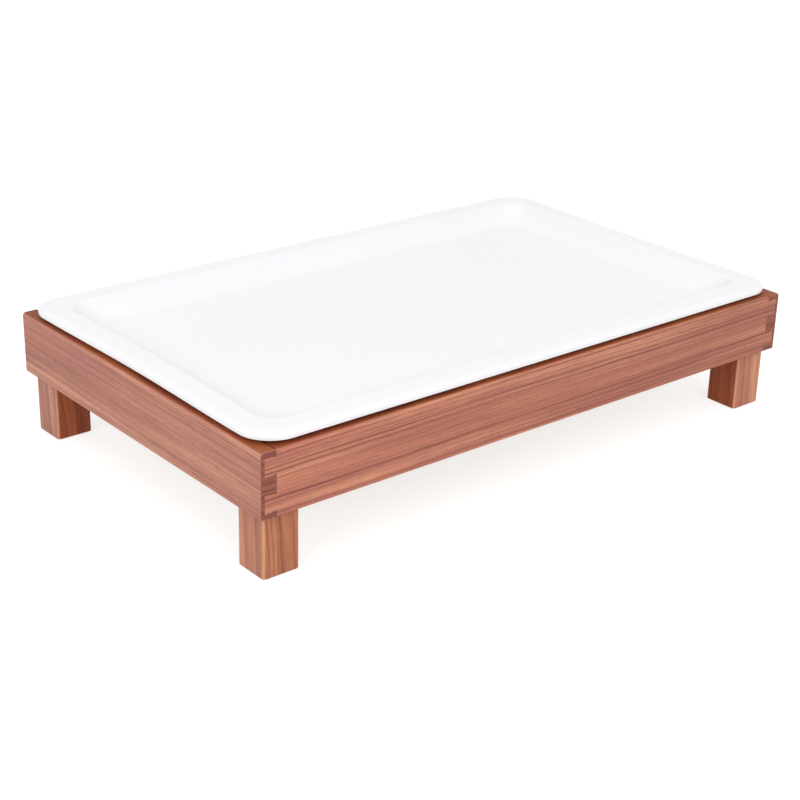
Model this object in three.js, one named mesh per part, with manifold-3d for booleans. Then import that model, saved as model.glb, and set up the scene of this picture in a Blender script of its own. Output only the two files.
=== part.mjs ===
// Chilled serving tray: a dovetailed walnut frame on four short legs, with a glazed
// porcelain tray lying on two cold packs that stand in an insulated well.
// Millimetres, +Z up, +X along the long side, origin on the table under the middle.

import * as THREE from 'three';
import { mergeVertices } from 'three/addons/utils/BufferGeometryUtils.js';
import Module from 'manifold-3d';

const wasm = await Module();
wasm.setup();

// Timber frame
const frameLength = 530; // outside, along X
const frameWidth = 325; // outside, along Y
const railHeight = 50;
const railThickness = 13;
const legHeight = 50; // table to the underside of the rails
const legSection = 31;
const legInset = 5.6; // leg faces stand back from the rail faces
const timberEase = 1; // rounding on the edges of the rails
const railTopEase = 3; // rounding on the top outside edge of the rails
const legEase = 3; // rounding on the upright edges of the legs
const legFootEase = 1; // rounding round the lower ends of the legs

// Half-blind dovetails: tails on the long rails, pins and laps on the end rails
const tailCount = 2; // at each end of a long rail
const lap = 3.3; // end rail left over the ends of the tails
const edgePin = 4; // pin at the top and bottom of the rail, at the ends of the tails
const middlePin = 13; // pin between two tails, at the ends of the tails
const tailFlare = 1; // each side of a tail spreads by this much towards its end
const glueGap = 0.15;

// Base panel in its groove
const panelThickness = 6;
const grooveDepth = 5;
const grooveRise = 6; // underside of the rails to the groove
const panelGap = 0.3; // room round the panel in the groove

// Leg fixings
const stubGap = 0.2; // between the top of a leg and the inner faces of the rails
const insertRadius = 5;
const insertLength = 13;
const screwRadius = 3;
const screwHeadRadius = 6;
const screwLength = 22;
const screwSunk = 0.3; // head below the top of the panel
const socketWidth = 4; // across the flats of the hexagon
const socketDepth = 1.8;
const boreGap = 0.2; // round the inserts, the pads and the screws in the panel
const threadGap = 0.1; // between a screw and its insert
const tipRoom = 3; // under the end of a screw

// Foot pads
const padRadius = 9;
const padThickness = 2.5;
const padProud = 0.6; // below the end of the leg

// Insulated well
const boardThickness = 4;
const boardClearance = 1.5; // board to the rails
const linerClearance = 1.2; // rim of the liner to the rails
const linerWall = 1.6;
const linerHeight = 28;
const linerLean = 1.5; // the walls lean out by this much from floor to rim
const linerCorner = 20; // plan radius at the rim
const linerFillet = 5; // inside radius between floor and walls
const seatGap = 0.3; // under each piece that lifts out

// Cold packs
const packClearance = 3; // to the foot of the liner's walls
const packSpacing = 20; // finger gap between the two packs
const packWall = 1.8;
const packCorner = 14;
const packEdge = 3; // rounding round the top and the bottom
const channelCount = 3; // stiffening channels in the top
const channelWidth = 12;
const channelDepth = 1;
const channelMargin = 26; // channel ends to the edge of the pack
const notchWidth = 40; // recess for the filler neck
const notchDepth = 16;
const neckLength = 4;
const neckWall = 1.8;
const capLength = 6;
const capMargin = 1.6; // cap to the level of the pack's top and bottom
const capRidge = 0.6; // depth of the grip ridges
const capRidges = 18;
const capGap = 0.3; // between the cap and its neck
const gelGap = 0.3; // gel to the shell
const gelHeadroom = 1.5; // air above the gel

// Tray
const trayMargin = 2.5; // rim of the tray back from the rail faces
const rimLift = 3.1; // underside of the rim above the rails
const rimWidth = 20; // outer edge to the start of the well
const rimThickness = 5.4;
const trayCorner = 26; // plan radius of the outer corners
const wellCorner = 17; // plan radius of the corners of the well
const wellDepth = 13.2;
const wallRun = 28.5; // plan width of the sloping wall of the well
const wallTopEase = 4.5; // how far the rim's level leads into that wall
const wallFootEase = 21; // how far the floor's level leads into it
const floorThickness = 5.4;
const lipRound = 8.3; // plan width of the rounding on the rim's upper edge
const lipDrop = 3.4; // height of that rounding
const lipUnder = 0.5; // rounding below the rim's upright edge
const endBow = 2; // the short sides are drawn in at their middles
const footWidth = 9; // flat ring that the tray stands on
const footHeight = 0.8;

// Facets
const easeSteps = 3; // rounding of an edge
const cornerSteps = 6; // plan corner of the tray and the liner
const bowSteps = 6; // short side of the tray
const wallSteps = 8; // slope of the tray's well
const lipSteps = 4; // rounding of the tray's rim
const packCornerSteps = 4;
const packEdgeSteps = 2;
const roundSteps = 16; // turned pieces
const overrun = 1; // cutters pass the faces that they cut
const weld = 1e-4;

// Places that follow from the sizes
const railTop = legHeight + railHeight;
const openingLength = frameLength - 2 * railThickness;
const openingWidth = frameWidth - 2 * railThickness;
const panelUnder = legHeight + grooveRise;
const panelTop = panelUnder + panelThickness;
const boardTop = panelTop + boardThickness;
const linerUnder = boardTop + seatGap;
const linerFloor = linerUnder + linerWall;
const packUnder = linerFloor + seatGap;
const rimTop = railTop + rimLift + rimThickness;
const trayUnder = rimTop - wellDepth - floorThickness;
const packTop = trayUnder - seatGap;
const packHeight = packTop - packUnder;
const linerHalfX = openingLength / 2 - linerClearance;
const linerHalfY = openingWidth / 2 - linerClearance;
const wellHalfX = linerHalfX - linerLean - linerWall;
const wellHalfY = linerHalfY - linerLean - linerWall;
const packLength = wellHalfX - packClearance - packSpacing / 2;
const packWidth = 2 * (wellHalfY - packClearance);
const tailLength = railThickness - lap;
const tailWidth = (railHeight - 2 * edgePin - (tailCount - 1) * middlePin) / tailCount;
const shoulderX = frameLength / 2 - railThickness;
const legCentreX = frameLength / 2 - legInset - legSection / 2;
const legCentreY = frameWidth / 2 - legInset - legSection / 2;
const stubLow = railThickness + stubGap - legInset - legSection / 2;
const stubCentre = (stubLow + legSection / 2) / 2;

// Materials
const walnut = new THREE.MeshStandardMaterial({ color: 0xb07860, roughness: 0.5, metalness: 0 });
const porcelain = new THREE.MeshStandardMaterial({ color: 0xf4f5f7, roughness: 0.15, metalness: 0 });
const plywood = new THREE.MeshStandardMaterial({ color: 0xc9a878, roughness: 0.65, metalness: 0 });
const cork = new THREE.MeshStandardMaterial({ color: 0xb58a5c, roughness: 0.9, metalness: 0 });
const linerPlastic = new THREE.MeshStandardMaterial({ color: 0x2b2c2e, roughness: 0.55, metalness: 0 });
const packPlastic = new THREE.MeshStandardMaterial({ color: 0xd9e6ee, roughness: 0.45, metalness: 0 });
const gelBlue = new THREE.MeshStandardMaterial({ color: 0x5fa3c7, roughness: 0.3, metalness: 0 });
const capBlue = new THREE.MeshStandardMaterial({ color: 0x2f6f9f, roughness: 0.45, metalness: 0 });
const brass = new THREE.MeshStandardMaterial({ color: 0xb5943f, roughness: 0.35, metalness: 1 });
const steel = new THREE.MeshStandardMaterial({ color: 0xaeb2b6, roughness: 0.35, metalness: 1 });
const rubber = new THREE.MeshStandardMaterial({ color: 0x3a3531, roughness: 0.9, metalness: 0 });

// Flat outline -> prism along X, Y or Z. The outline's own axes are YZ, XZ and XY.
const prismAxes = {
  x: [new THREE.Vector3(0, 1, 0), new THREE.Vector3(0, 0, 1), new THREE.Vector3(1, 0, 0)],
  y: [new THREE.Vector3(1, 0, 0), new THREE.Vector3(0, 0, 1), new THREE.Vector3(0, -1, 0)],
  z: [new THREE.Vector3(1, 0, 0), new THREE.Vector3(0, 1, 0), new THREE.Vector3(0, 0, 1)],
};

function prism(shape, axis, from, to) {
  const settings = { depth: to - from, bevelEnabled: false, curveSegments: easeSteps };
  const geometry = new THREE.ExtrudeGeometry(shape, settings);
  geometry.translate(0, 0, axis === 'y' ? -to : from);
  return geometry.applyMatrix4(new THREE.Matrix4().makeBasis(...prismAxes[axis]));
}

function polygon(points) {
  return new THREE.Shape(points.map(([u, v]) => new THREE.Vector2(u, v)));
}

// Rectangle with its own radius at each corner: low left, low right, high right, high left.
function easedRectangle(low, high, radii) {
  const ends = [
    [low[0], low[1], 1, 1],
    [high[0], low[1], -1, 1],
    [high[0], high[1], -1, -1],
    [low[0], high[1], 1, -1],
  ];
  const shape = new THREE.Shape();
  ends.forEach(([u, v, inU, inV], index) => {
    const radius = radii[index];
    const start = Math.PI + (index * Math.PI) / 2;
    if (radius > 0) shape.absarc(u + inU * radius, v + inV * radius, radius, start, start + Math.PI / 2);
    else if (index === 0) shape.moveTo(u, v);
    else shape.lineTo(u, v);
  });
  return shape;
}

function block(low, high) {
  const size = high.map((value, axis) => value - low[axis]);
  const middle = high.map((value, axis) => (value + low[axis]) / 2);
  return new THREE.BoxGeometry(...size).translate(...middle);
}

function cylinder(radius, low, high, steps = roundSteps) {
  const geometry = new THREE.CylinderGeometry(radius, radius, high - low, steps);
  return geometry.rotateX(Math.PI / 2).translate(0, 0, (low + high) / 2);
}

// Turned piece about Z from [radius, height] points that start and end on the axis.
function turned(points) {
  const profile = points.map(([radius, height]) => new THREE.Vector2(radius, height));
  return new THREE.LatheGeometry(profile, roundSteps).rotateX(Math.PI / 2);
}

// Closed meshes to solids that can be cut and joined, and back.
function toSolid(geometry) {
  const bare = geometry.clone();
  bare.deleteAttribute('normal');
  bare.deleteAttribute('uv');
  const merged = mergeVertices(bare, weld);
  const triangles = [];
  for (let start = 0; start < merged.index.count; start += 3) {
    const [a, b, c] = [0, 1, 2].map((step) => merged.index.getX(start + step));
    if (a !== b && b !== c && c !== a) triangles.push(a, b, c);
  }
  const vertProperties = new Float32Array(merged.attributes.position.array);
  const mesh = new wasm.Mesh({ numProp: 3, vertProperties, triVerts: Uint32Array.from(triangles) });
  return new wasm.Manifold(mesh);
}

function toGeometry(solid) {
  const mesh = solid.getMesh();
  const geometry = new THREE.BufferGeometry();
  geometry.setAttribute('position', new THREE.BufferAttribute(Float32Array.from(mesh.vertProperties), 3));
  geometry.setIndex(new THREE.BufferAttribute(Uint32Array.from(mesh.triVerts), 1));
  geometry.computeVertexNormals();
  return geometry;
}

function cut(solid, cutters) {
  return cutters.reduce((left, cutter) => left.subtract(toSolid(cutter)), solid);
}

// Anticlockwise rounded rectangle at one height; bow draws in the middles of the short sides.
function ring(halfX, halfY, radius, height, bow = 0) {
  const points = [];
  const quadrants = [[1, 1], [-1, 1], [-1, -1], [1, -1]];
  quadrants.forEach(([signX, signY], index) => {
    const centreX = signX * (halfX - radius);
    const centreY = signY * (halfY - radius);
    for (let step = 0; step <= cornerSteps; step += 1) {
      const angle = ((index + step / cornerSteps) * Math.PI) / 2;
      points.push([centreX + radius * Math.cos(angle), centreY + radius * Math.sin(angle), height]);
    }
    const [nextX, nextY] = quadrants[(index + 1) % quadrants.length];
    const from = points[points.length - 1];
    const long = nextY === signY;
    const to = long ? [nextX * (halfX - radius), from[1]] : [from[0], nextY * (halfY - radius)];
    const steps = long || bow === 0 ? 1 : bowSteps;
    for (let step = 1; step < steps; step += 1) {
      const along = step / steps;
      const inward = -signX * bow * (1 - (2 * along - 1) ** 2);
      const [x, y] = [0, 1].map((axis) => from[axis] + (to[axis] - from[axis]) * along);
      points.push([x + inward, y, height]);
    }
  });
  return points;
}

// Closed skin over rings that run from the underside outwards, up, and back in over the top.
function loft(rings) {
  const count = rings[0].length;
  const positions = rings.flat(2);
  const triangles = [];
  for (let level = 0; level + 1 < rings.length; level += 1) {
    for (let step = 0; step < count; step += 1) {
      const next = (step + 1) % count;
      const [a, b] = [level * count + step, level * count + next];
      triangles.push(a, b, b + count, a, b + count, a + count);
    }
  }
  const under = rings.length * count;
  const top = (rings.length - 1) * count;
  positions.push(0, 0, rings[0][0][2], 0, 0, rings[rings.length - 1][0][2]);
  for (let step = 0; step < count; step += 1) {
    const next = (step + 1) % count;
    triangles.push(under, next, step, under + 1, top + step, top + next);
  }
  const geometry = new THREE.BufferGeometry();
  geometry.setAttribute('position', new THREE.Float32BufferAttribute(positions, 3));
  geometry.setIndex(triangles);
  geometry.computeVertexNormals();
  return geometry;
}

// Heights of pin number index at the ends of the tails, from the underside of the rail.
function pinSpan(index) {
  const low = index === 0 ? -overrun : edgePin + index * tailWidth + (index - 1) * middlePin;
  const high = index === tailCount ? railHeight + overrun : edgePin + index * (tailWidth + middlePin);
  return [low, high];
}

// Cutters for one end of a long rail: the room that the pins take between the tails.
function pinRooms(side) {
  const inner = side * (shoulderX - glueGap);
  const outer = side * (shoulderX + tailLength + overrun);
  const spread = (tailFlare * (tailLength + overrun)) / tailLength;
  return Array.from({ length: tailCount + 1 }, (_, index) => {
    const [low, high] = pinSpan(index).map((height) => height + legHeight);
    const outline = polygon([
      [inner, low - tailFlare],
      [outer, low - tailFlare + spread],
      [outer, high + tailFlare - spread],
      [inner, high + tailFlare],
    ]);
    return prism(outline, 'y', -frameWidth / 2 - overrun, -frameWidth / 2 + railThickness + overrun);
  });
}

// Cutters for one end of the right end rail: sockets round the tails of one long rail.
function tailSockets(side) {
  const [near, far] = [frameWidth / 2 - railThickness - glueGap, frameWidth / 2 + overrun];
  const [from, to] = side > 0 ? [near, far] : [-far, -near];
  const inner = shoulderX - overrun;
  const outer = shoulderX + tailLength + glueGap;
  const slope = tailFlare / tailLength;
  return Array.from({ length: tailCount }, (_, index) => {
    const low = legHeight + pinSpan(index)[1] - glueGap;
    const high = legHeight + pinSpan(index + 1)[0] + glueGap;
    const narrow = tailFlare + slope * overrun;
    const wide = slope * glueGap;
    const outline = polygon([
      [inner, low + narrow],
      [outer, low - wide],
      [outer, high + wide],
      [inner, high - narrow],
    ]);
    return prism(outline, 'y', from, to);
  });
}

function groove(low, high) {
  return block([...low, panelUnder], [...high, panelTop + panelGap]);
}

// The front rail; the back rail is the same piece turned half round.
function longRail() {
  const outside = -frameWidth / 2;
  const inside = outside + railThickness;
  const reach = shoulderX + tailLength;
  const radii = [timberEase, timberEase, timberEase, railTopEase];
  const section = easedRectangle([outside, legHeight], [inside, railTop], radii);
  const panelRoom = groove([-reach - overrun, inside - grooveDepth], [reach + overrun, inside + overrun]);
  const stock = toSolid(prism(section, 'x', -reach, reach));
  return toGeometry(cut(stock, [panelRoom, ...pinRooms(-1), ...pinRooms(1)]));
}

// The right end rail; the left one is the same piece turned half round.
function endRail() {
  const outside = frameLength / 2;
  const halfWidth = frameWidth / 2;
  const ease = timberEase;
  const section = easedRectangle([shoulderX, legHeight], [outside, railTop], [ease, ease, railTopEase, ease]);
  const side = easedRectangle([-halfWidth, legHeight], [halfWidth, railTop], Array(4).fill(ease));
  const plan = easedRectangle([shoulderX, -halfWidth], [outside, halfWidth], [0, ease, ease, 0]);
  const stock = toSolid(prism(section, 'y', -halfWidth, halfWidth))
    .intersect(toSolid(prism(side, 'x', shoulderX - overrun, outside + overrun)))
    .intersect(toSolid(prism(plan, 'z', legHeight - overrun, railTop + overrun)));
  const panelRoom = groove(
    [shoulderX - overrun, -halfWidth + railThickness],
    [shoulderX + grooveDepth, halfWidth - railThickness],
  );
  return toGeometry(cut(stock, [panelRoom, ...tailSockets(-1), ...tailSockets(1)]));
}

// One leg about its own axis, with its stub towards +X and +Y.
function leg() {
  const half = legSection / 2;
  const ease = legEase;
  const face = easedRectangle([-half, padProud], [half, legHeight], [legFootEase, legFootEase, 0, 0]);
  const plan = easedRectangle([-half, -half], [half, half], Array(4).fill(ease));
  const stub = easedRectangle([stubLow, stubLow], [half, half], Array(4).fill(ease));
  const post = toSolid(prism(face, 'x', -half, half))
    .intersect(toSolid(prism(face, 'y', -half, half)))
    .intersect(toSolid(prism(plan, 'z', 0, legHeight + overrun)))
    .add(toSolid(prism(stub, 'z', legHeight - overrun, panelUnder)));
  const padRoom = cylinder(padRadius + boreGap, 0, padThickness);
  const insertEnd = panelUnder - insertLength - boreGap;
  const insertRoom = cylinder(insertRadius + boreGap, insertEnd, panelUnder + overrun);
  const screwEnd = panelTop - screwSunk - screwLength;
  const screwRoom = cylinder(screwRadius + boreGap, screwEnd - tipRoom, panelUnder);
  const fixingRooms = [insertRoom, screwRoom].map((room) => room.translate(stubCentre, stubCentre, 0));
  return toGeometry(cut(post, [padRoom, ...fixingRooms]));
}

function legInsert() {
  const body = toSolid(cylinder(insertRadius, panelUnder - insertLength, panelUnder));
  const thread = cylinder(screwRadius + threadGap, panelUnder - insertLength - overrun, panelUnder + overrun);
  return toGeometry(cut(body, [thread]));
}

// Countersunk screw, or the room for it when gap is more than nothing.
function screwProfile(end, gap, top) {
  const headTop = panelTop - screwSunk;
  const headUnder = headTop - (screwHeadRadius - screwRadius);
  return [
    [0, end],
    [screwRadius + gap, end],
    [screwRadius + gap, headUnder],
    [screwHeadRadius + gap, headTop],
    ...(top > headTop ? [[screwHeadRadius + gap, top]] : []),
    [0, top],
  ];
}

function legScrew() {
  const headTop = panelTop - screwSunk;
  const body = toSolid(turned(screwProfile(headTop - screwLength, 0, headTop)));
  const socket = cylinder(socketWidth / Math.sqrt(3), headTop - socketDepth, headTop + overrun, 6);
  return toGeometry(cut(body, [socket]));
}

function basePanel() {
  const halfX = openingLength / 2 + grooveDepth - panelGap;
  const halfY = openingWidth / 2 + grooveDepth - panelGap;
  const screwX = legCentreX - stubCentre;
  const screwY = legCentreY - stubCentre;
  const sheet = toSolid(block([-halfX, -halfY, panelUnder], [halfX, halfY, panelTop]));
  const room = screwProfile(panelUnder - overrun, boreGap, panelTop + overrun);
  const holes = corners.map(({ x, y }) => turned(room).translate(x * screwX, y * screwY, 0));
  return toGeometry(cut(sheet, holes));
}

function insulationBoard() {
  const halfX = openingLength / 2 - boardClearance;
  const halfY = openingWidth / 2 - boardClearance;
  return block([-halfX, -halfY, panelTop], [halfX, halfY, boardTop]);
}

// Formed well: outside from the floor up to the rim, then down the inside.
function liner() {
  const rim = linerUnder + linerHeight;
  const skin = (inset, floor) => {
    const fillet = linerFillet + linerWall - inset;
    const levels = Array.from({ length: easeSteps + 1 }, (_, step) => {
      const angle = (step / easeSteps) * (Math.PI / 2);
      return [fillet * (1 - Math.sin(angle)), floor + fillet * (1 - Math.cos(angle))];
    });
    const rings = levels.map(([drawnIn, height]) => {
      const lean = (linerLean * (rim - height)) / linerHeight;
      const off = inset + drawnIn + lean;
      return ring(linerHalfX - off, linerHalfY - off, linerCorner - off, height);
    });
    return [...rings, ring(linerHalfX - inset, linerHalfY - inset, linerCorner - inset, rim)];
  };
  return loft([...skin(0, linerUnder), ...skin(linerWall, linerFloor).reverse()]);
}

// Plan of the right pack drawn in by an inset, with the recess for its neck in the outer end.
function packOutline(inset) {
  const low = packSpacing / 2 + inset;
  const high = packSpacing / 2 + packLength - inset;
  const half = packWidth / 2 - inset;
  const radius = packCorner - inset;
  const notchHalf = notchWidth / 2 + inset;
  const notchEnd = high - notchDepth;
  const shape = new THREE.Shape();
  shape.absarc(low + radius, -half + radius, radius, Math.PI, 1.5 * Math.PI);
  shape.absarc(high - radius, -half + radius, radius, 1.5 * Math.PI, 2 * Math.PI);
  shape.lineTo(high, -notchHalf);
  shape.lineTo(notchEnd, -notchHalf);
  shape.lineTo(notchEnd, notchHalf);
  shape.lineTo(high, notchHalf);
  shape.absarc(high - radius, half - radius, radius, 0, 0.5 * Math.PI);
  shape.absarc(low + radius, half - radius, radius, 0.5 * Math.PI, Math.PI);
  return shape;
}

function packBody(inset, low, high) {
  const edge = packEdge - Math.min(inset, packEdge / 2);
  const settings = {
    depth: high - low - 2 * edge,
    bevelThickness: edge,
    bevelSize: edge,
    bevelOffset: -edge,
    bevelSegments: packEdgeSteps,
    curveSegments: packCornerSteps,
  };
  return new THREE.ExtrudeGeometry(packOutline(inset), settings).translate(0, 0, low + edge);
}

// Round pieces along X on the axis of the filler neck.
const neckRoot = packSpacing / 2 + packLength - notchDepth;
const neckEnd = neckRoot + neckLength;
const neckHeight = (packUnder + packTop) / 2;
const capRadius = packHeight / 2 - capMargin;
const neckRadius = capRadius - capRidge;
const neckBore = neckRadius - neckWall;

function onNeck(radius, from, to) {
  return cylinder(radius, from, to).rotateY(Math.PI / 2).translate(0, 0, neckHeight);
}

function packShell() {
  const cavityTop = packTop - packWall - channelDepth;
  const cavity = packBody(packWall, packUnder + packWall, cavityTop);
  const neck = onNeck(neckRadius, neckRoot - packWall / 2, neckEnd);
  const bore = onNeck(neckBore, neckRoot - 2 * packWall, neckEnd + overrun);
  const low = packSpacing / 2 + channelMargin;
  const high = neckRoot - channelMargin;
  const pitch = packWidth / (channelCount + 1);
  const end = channelWidth / 2;
  const channels = Array.from({ length: channelCount }, (_, index) => {
    const y = (index + 1) * pitch - packWidth / 2;
    const outline = easedRectangle([low, y - end], [high, y + end], Array(4).fill(end));
    return prism(outline, 'z', packTop - channelDepth, packTop + overrun);
  });
  const outside = cut(toSolid(packBody(0, packUnder, packTop)), channels);
  return toGeometry(cut(outside.add(toSolid(neck)), [cavity, bore]));
}

function packGel() {
  const inset = packWall + gelGap;
  return packBody(inset, packUnder + inset, packTop - packWall - channelDepth - gelHeadroom);
}

function packCap() {
  const grip = Array.from({ length: 2 * capRidges }, (_, index) => {
    const angle = (index * Math.PI) / capRidges;
    const radius = capRadius - (index % 2) * capRidge;
    return [radius * Math.cos(angle), neckHeight + radius * Math.sin(angle)];
  });
  const head = toSolid(prism(polygon(grip), 'x', neckEnd + capGap, neckEnd + capGap + capLength));
  const spigot = onNeck(neckBore - capGap, neckRoot - packWall, neckEnd + capGap + capLength / 2);
  return toGeometry(head.add(toSolid(spigot)));
}

// Section of the tray as [inset from the outer edge, height], from the foot out and over the rim.
function traySection() {
  const rimUnder = rimTop - rimThickness;
  const floorTop = trayUnder + floorThickness;
  const wallShift = rimThickness * Math.SQRT1_2;
  const wall = (start, high, low) => {
    const curve = new THREE.CubicBezierCurve(
      new THREE.Vector2(start, high),
      new THREE.Vector2(start + wallTopEase, high),
      new THREE.Vector2(start + wallRun - wallFootEase, low),
      new THREE.Vector2(start + wallRun, low),
    );
    return curve.getPoints(wallSteps).map((point) => [point.x, point.y]);
  };
  const quarter = (inset, level, rise) => Array.from({ length: lipSteps + 1 }, (_, step) => {
    const angle = (step / lipSteps) * (Math.PI / 2);
    return [inset * (1 - Math.cos(angle)), level + rise * Math.sin(angle)];
  });
  const footOuter = rimWidth + wallRun - wallShift;
  return [
    [footOuter + footWidth + footHeight, trayUnder + footHeight],
    [footOuter + footWidth, trayUnder],
    ...wall(rimWidth - wallShift, rimUnder, trayUnder).reverse(),
    ...quarter(lipUnder, rimUnder + lipUnder, -lipUnder).reverse(),
    ...quarter(lipRound, rimTop - lipDrop, lipDrop),
    ...wall(rimWidth, rimTop, floorTop),
  ];
}

function tray() {
  const halfX = frameLength / 2 - trayMargin;
  const halfY = frameWidth / 2 - trayMargin;
  const rings = traySection().map(([inset, height]) => {
    const blend = Math.min(1, inset / rimWidth);
    const radius = trayCorner + (wellCorner - trayCorner) * blend;
    return ring(halfX - inset, halfY - inset, radius, height, endBow);
  });
  return loft(rings);
}

// Assembly
const model = new THREE.Group();

function place(parent, name, geometry, material, turn = 0) {
  const mesh = new THREE.Mesh(geometry, material);
  mesh.name = name;
  mesh.rotation.z = turn;
  parent.add(mesh);
}

const corners = [
  { name: 'front_left', x: -1, y: -1 },
  { name: 'front_right', x: 1, y: -1 },
  { name: 'back_right', x: 1, y: 1 },
  { name: 'back_left', x: -1, y: 1 },
];

const longRailGeometry = longRail();
place(model, 'front_rail', longRailGeometry, walnut);
place(model, 'back_rail', longRailGeometry, walnut, Math.PI);

const endRailGeometry = endRail();
place(model, 'right_end_rail', endRailGeometry, walnut);
place(model, 'left_end_rail', endRailGeometry, walnut, Math.PI);

const legGeometry = leg();
const padGeometry = cylinder(padRadius, 0, padThickness);
const insertGeometry = legInsert().translate(stubCentre, stubCentre, 0);
const screwGeometry = legScrew().translate(stubCentre, stubCentre, 0);
corners.forEach(({ name, x, y }, quarterTurns) => {
  const corner = new THREE.Group();
  corner.position.set(x * legCentreX, y * legCentreY, 0);
  corner.rotation.z = (quarterTurns * Math.PI) / 2;
  place(corner, `leg_${name}`, legGeometry, walnut);
  place(corner, `foot_pad_${name}`, padGeometry, rubber);
  place(corner, `leg_insert_${name}`, insertGeometry, brass);
  place(corner, `leg_screw_${name}`, screwGeometry, steel);
  model.add(corner);
});

place(model, 'base_panel', basePanel(), plywood);
place(model, 'insulation_board', insulationBoard(), cork);
place(model, 'liner', liner(), linerPlastic);

const packPieces = [
  ['shell', packShell(), packPlastic],
  ['gel', packGel(), gelBlue],
  ['cap', packCap(), capBlue],
];
packPieces.forEach(([piece, geometry, material]) => {
  place(model, `cold_pack_right_${piece}`, geometry, material);
  place(model, `cold_pack_left_${piece}`, geometry, material, Math.PI);
});

place(model, 'tray', tray(), porcelain);

export default model;
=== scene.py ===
"""Chilled serving tray: a dovetailed walnut stand with a glazed tray lying on two cold packs.

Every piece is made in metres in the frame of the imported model, +Z up, +X along the long side.
"""

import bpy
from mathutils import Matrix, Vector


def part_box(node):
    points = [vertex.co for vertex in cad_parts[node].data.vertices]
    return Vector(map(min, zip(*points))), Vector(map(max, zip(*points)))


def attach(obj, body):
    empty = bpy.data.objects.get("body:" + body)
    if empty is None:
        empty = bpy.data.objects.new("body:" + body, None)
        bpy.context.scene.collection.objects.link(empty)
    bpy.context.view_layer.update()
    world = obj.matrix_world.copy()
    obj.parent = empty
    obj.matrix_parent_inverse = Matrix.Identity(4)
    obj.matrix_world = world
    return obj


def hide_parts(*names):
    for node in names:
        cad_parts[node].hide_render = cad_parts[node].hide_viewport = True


bl_info = {
    "name": "Chilled serving tray",
    "version": (1, 0, 0),
    "blender": (4, 5, 0),
    "location": "3D View > Sidebar > Serving tray",
    "description": "Makes the walnut stand, the glazed tray and the cold packs under it",
    "category": "Object",
}

import math
import random
from typing import NamedTuple

import bmesh
import bpy
from bpy.props import FloatProperty, FloatVectorProperty, IntProperty, PointerProperty
from mathutils import Matrix, Vector

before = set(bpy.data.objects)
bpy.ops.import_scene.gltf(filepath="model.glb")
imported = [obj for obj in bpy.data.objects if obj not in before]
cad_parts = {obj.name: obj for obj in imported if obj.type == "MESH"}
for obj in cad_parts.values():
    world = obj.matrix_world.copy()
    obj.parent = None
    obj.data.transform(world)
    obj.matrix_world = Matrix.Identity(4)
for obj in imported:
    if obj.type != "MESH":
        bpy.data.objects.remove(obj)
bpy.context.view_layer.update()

MM = 0.001
OVERRUN = 1 * MM  # cutters pass the faces that they cut
SHARP_ANGLE = math.radians(32)  # an edge that turns less counts as part of a rounding
MERGE_DISTANCE = 1e-7
CORNERS = {"front_left": (-1, -1), "front_right": (1, -1), "back_right": (1, 1), "back_left": (-1, 1)}

# Places that the frame gives
_, LONG_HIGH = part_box("front_rail")
END_LOW, END_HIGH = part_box("right_end_rail")
PANEL_LOW, PANEL_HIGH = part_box("base_panel")
BOARD_LOW, BOARD_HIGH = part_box("insulation_board")
LINER_LOW, LINER_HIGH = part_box("liner")
PACK_LOW, PACK_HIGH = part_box("cold_pack_right_shell")
GEL_LOW, GEL_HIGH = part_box("cold_pack_right_gel")
CAP_LOW, CAP_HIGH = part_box("cold_pack_right_cap")
TRAY_LOW, TRAY_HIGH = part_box("tray")
RAIL_UNDER, RAIL_TOP = END_LOW.z, END_HIGH.z
HALF_LENGTH, HALF_WIDTH = END_HIGH.x, END_HIGH.y
RAIL_THICKNESS = END_HIGH.x - END_LOW.x
INNER_X, INNER_Y = HALF_LENGTH - RAIL_THICKNESS, HALF_WIDTH - RAIL_THICKNESS
PACK_MIDDLE = (PACK_LOW.z + PACK_HIGH.z) / 2


def length(name, description, default):
    return FloatProperty(name=name, description=description, default=default, min=0, unit="LENGTH")


def count(name, description, default):
    return IntProperty(name=name, description=description, default=default, min=1)


def amount(name, description, default):
    return FloatProperty(name=name, description=description, default=default, min=0)


def colour(name, description, default):
    return FloatVectorProperty(
        name=name, description=description, default=(*default, 1), size=4, min=0, max=1, subtype="COLOR"
    )


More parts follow.
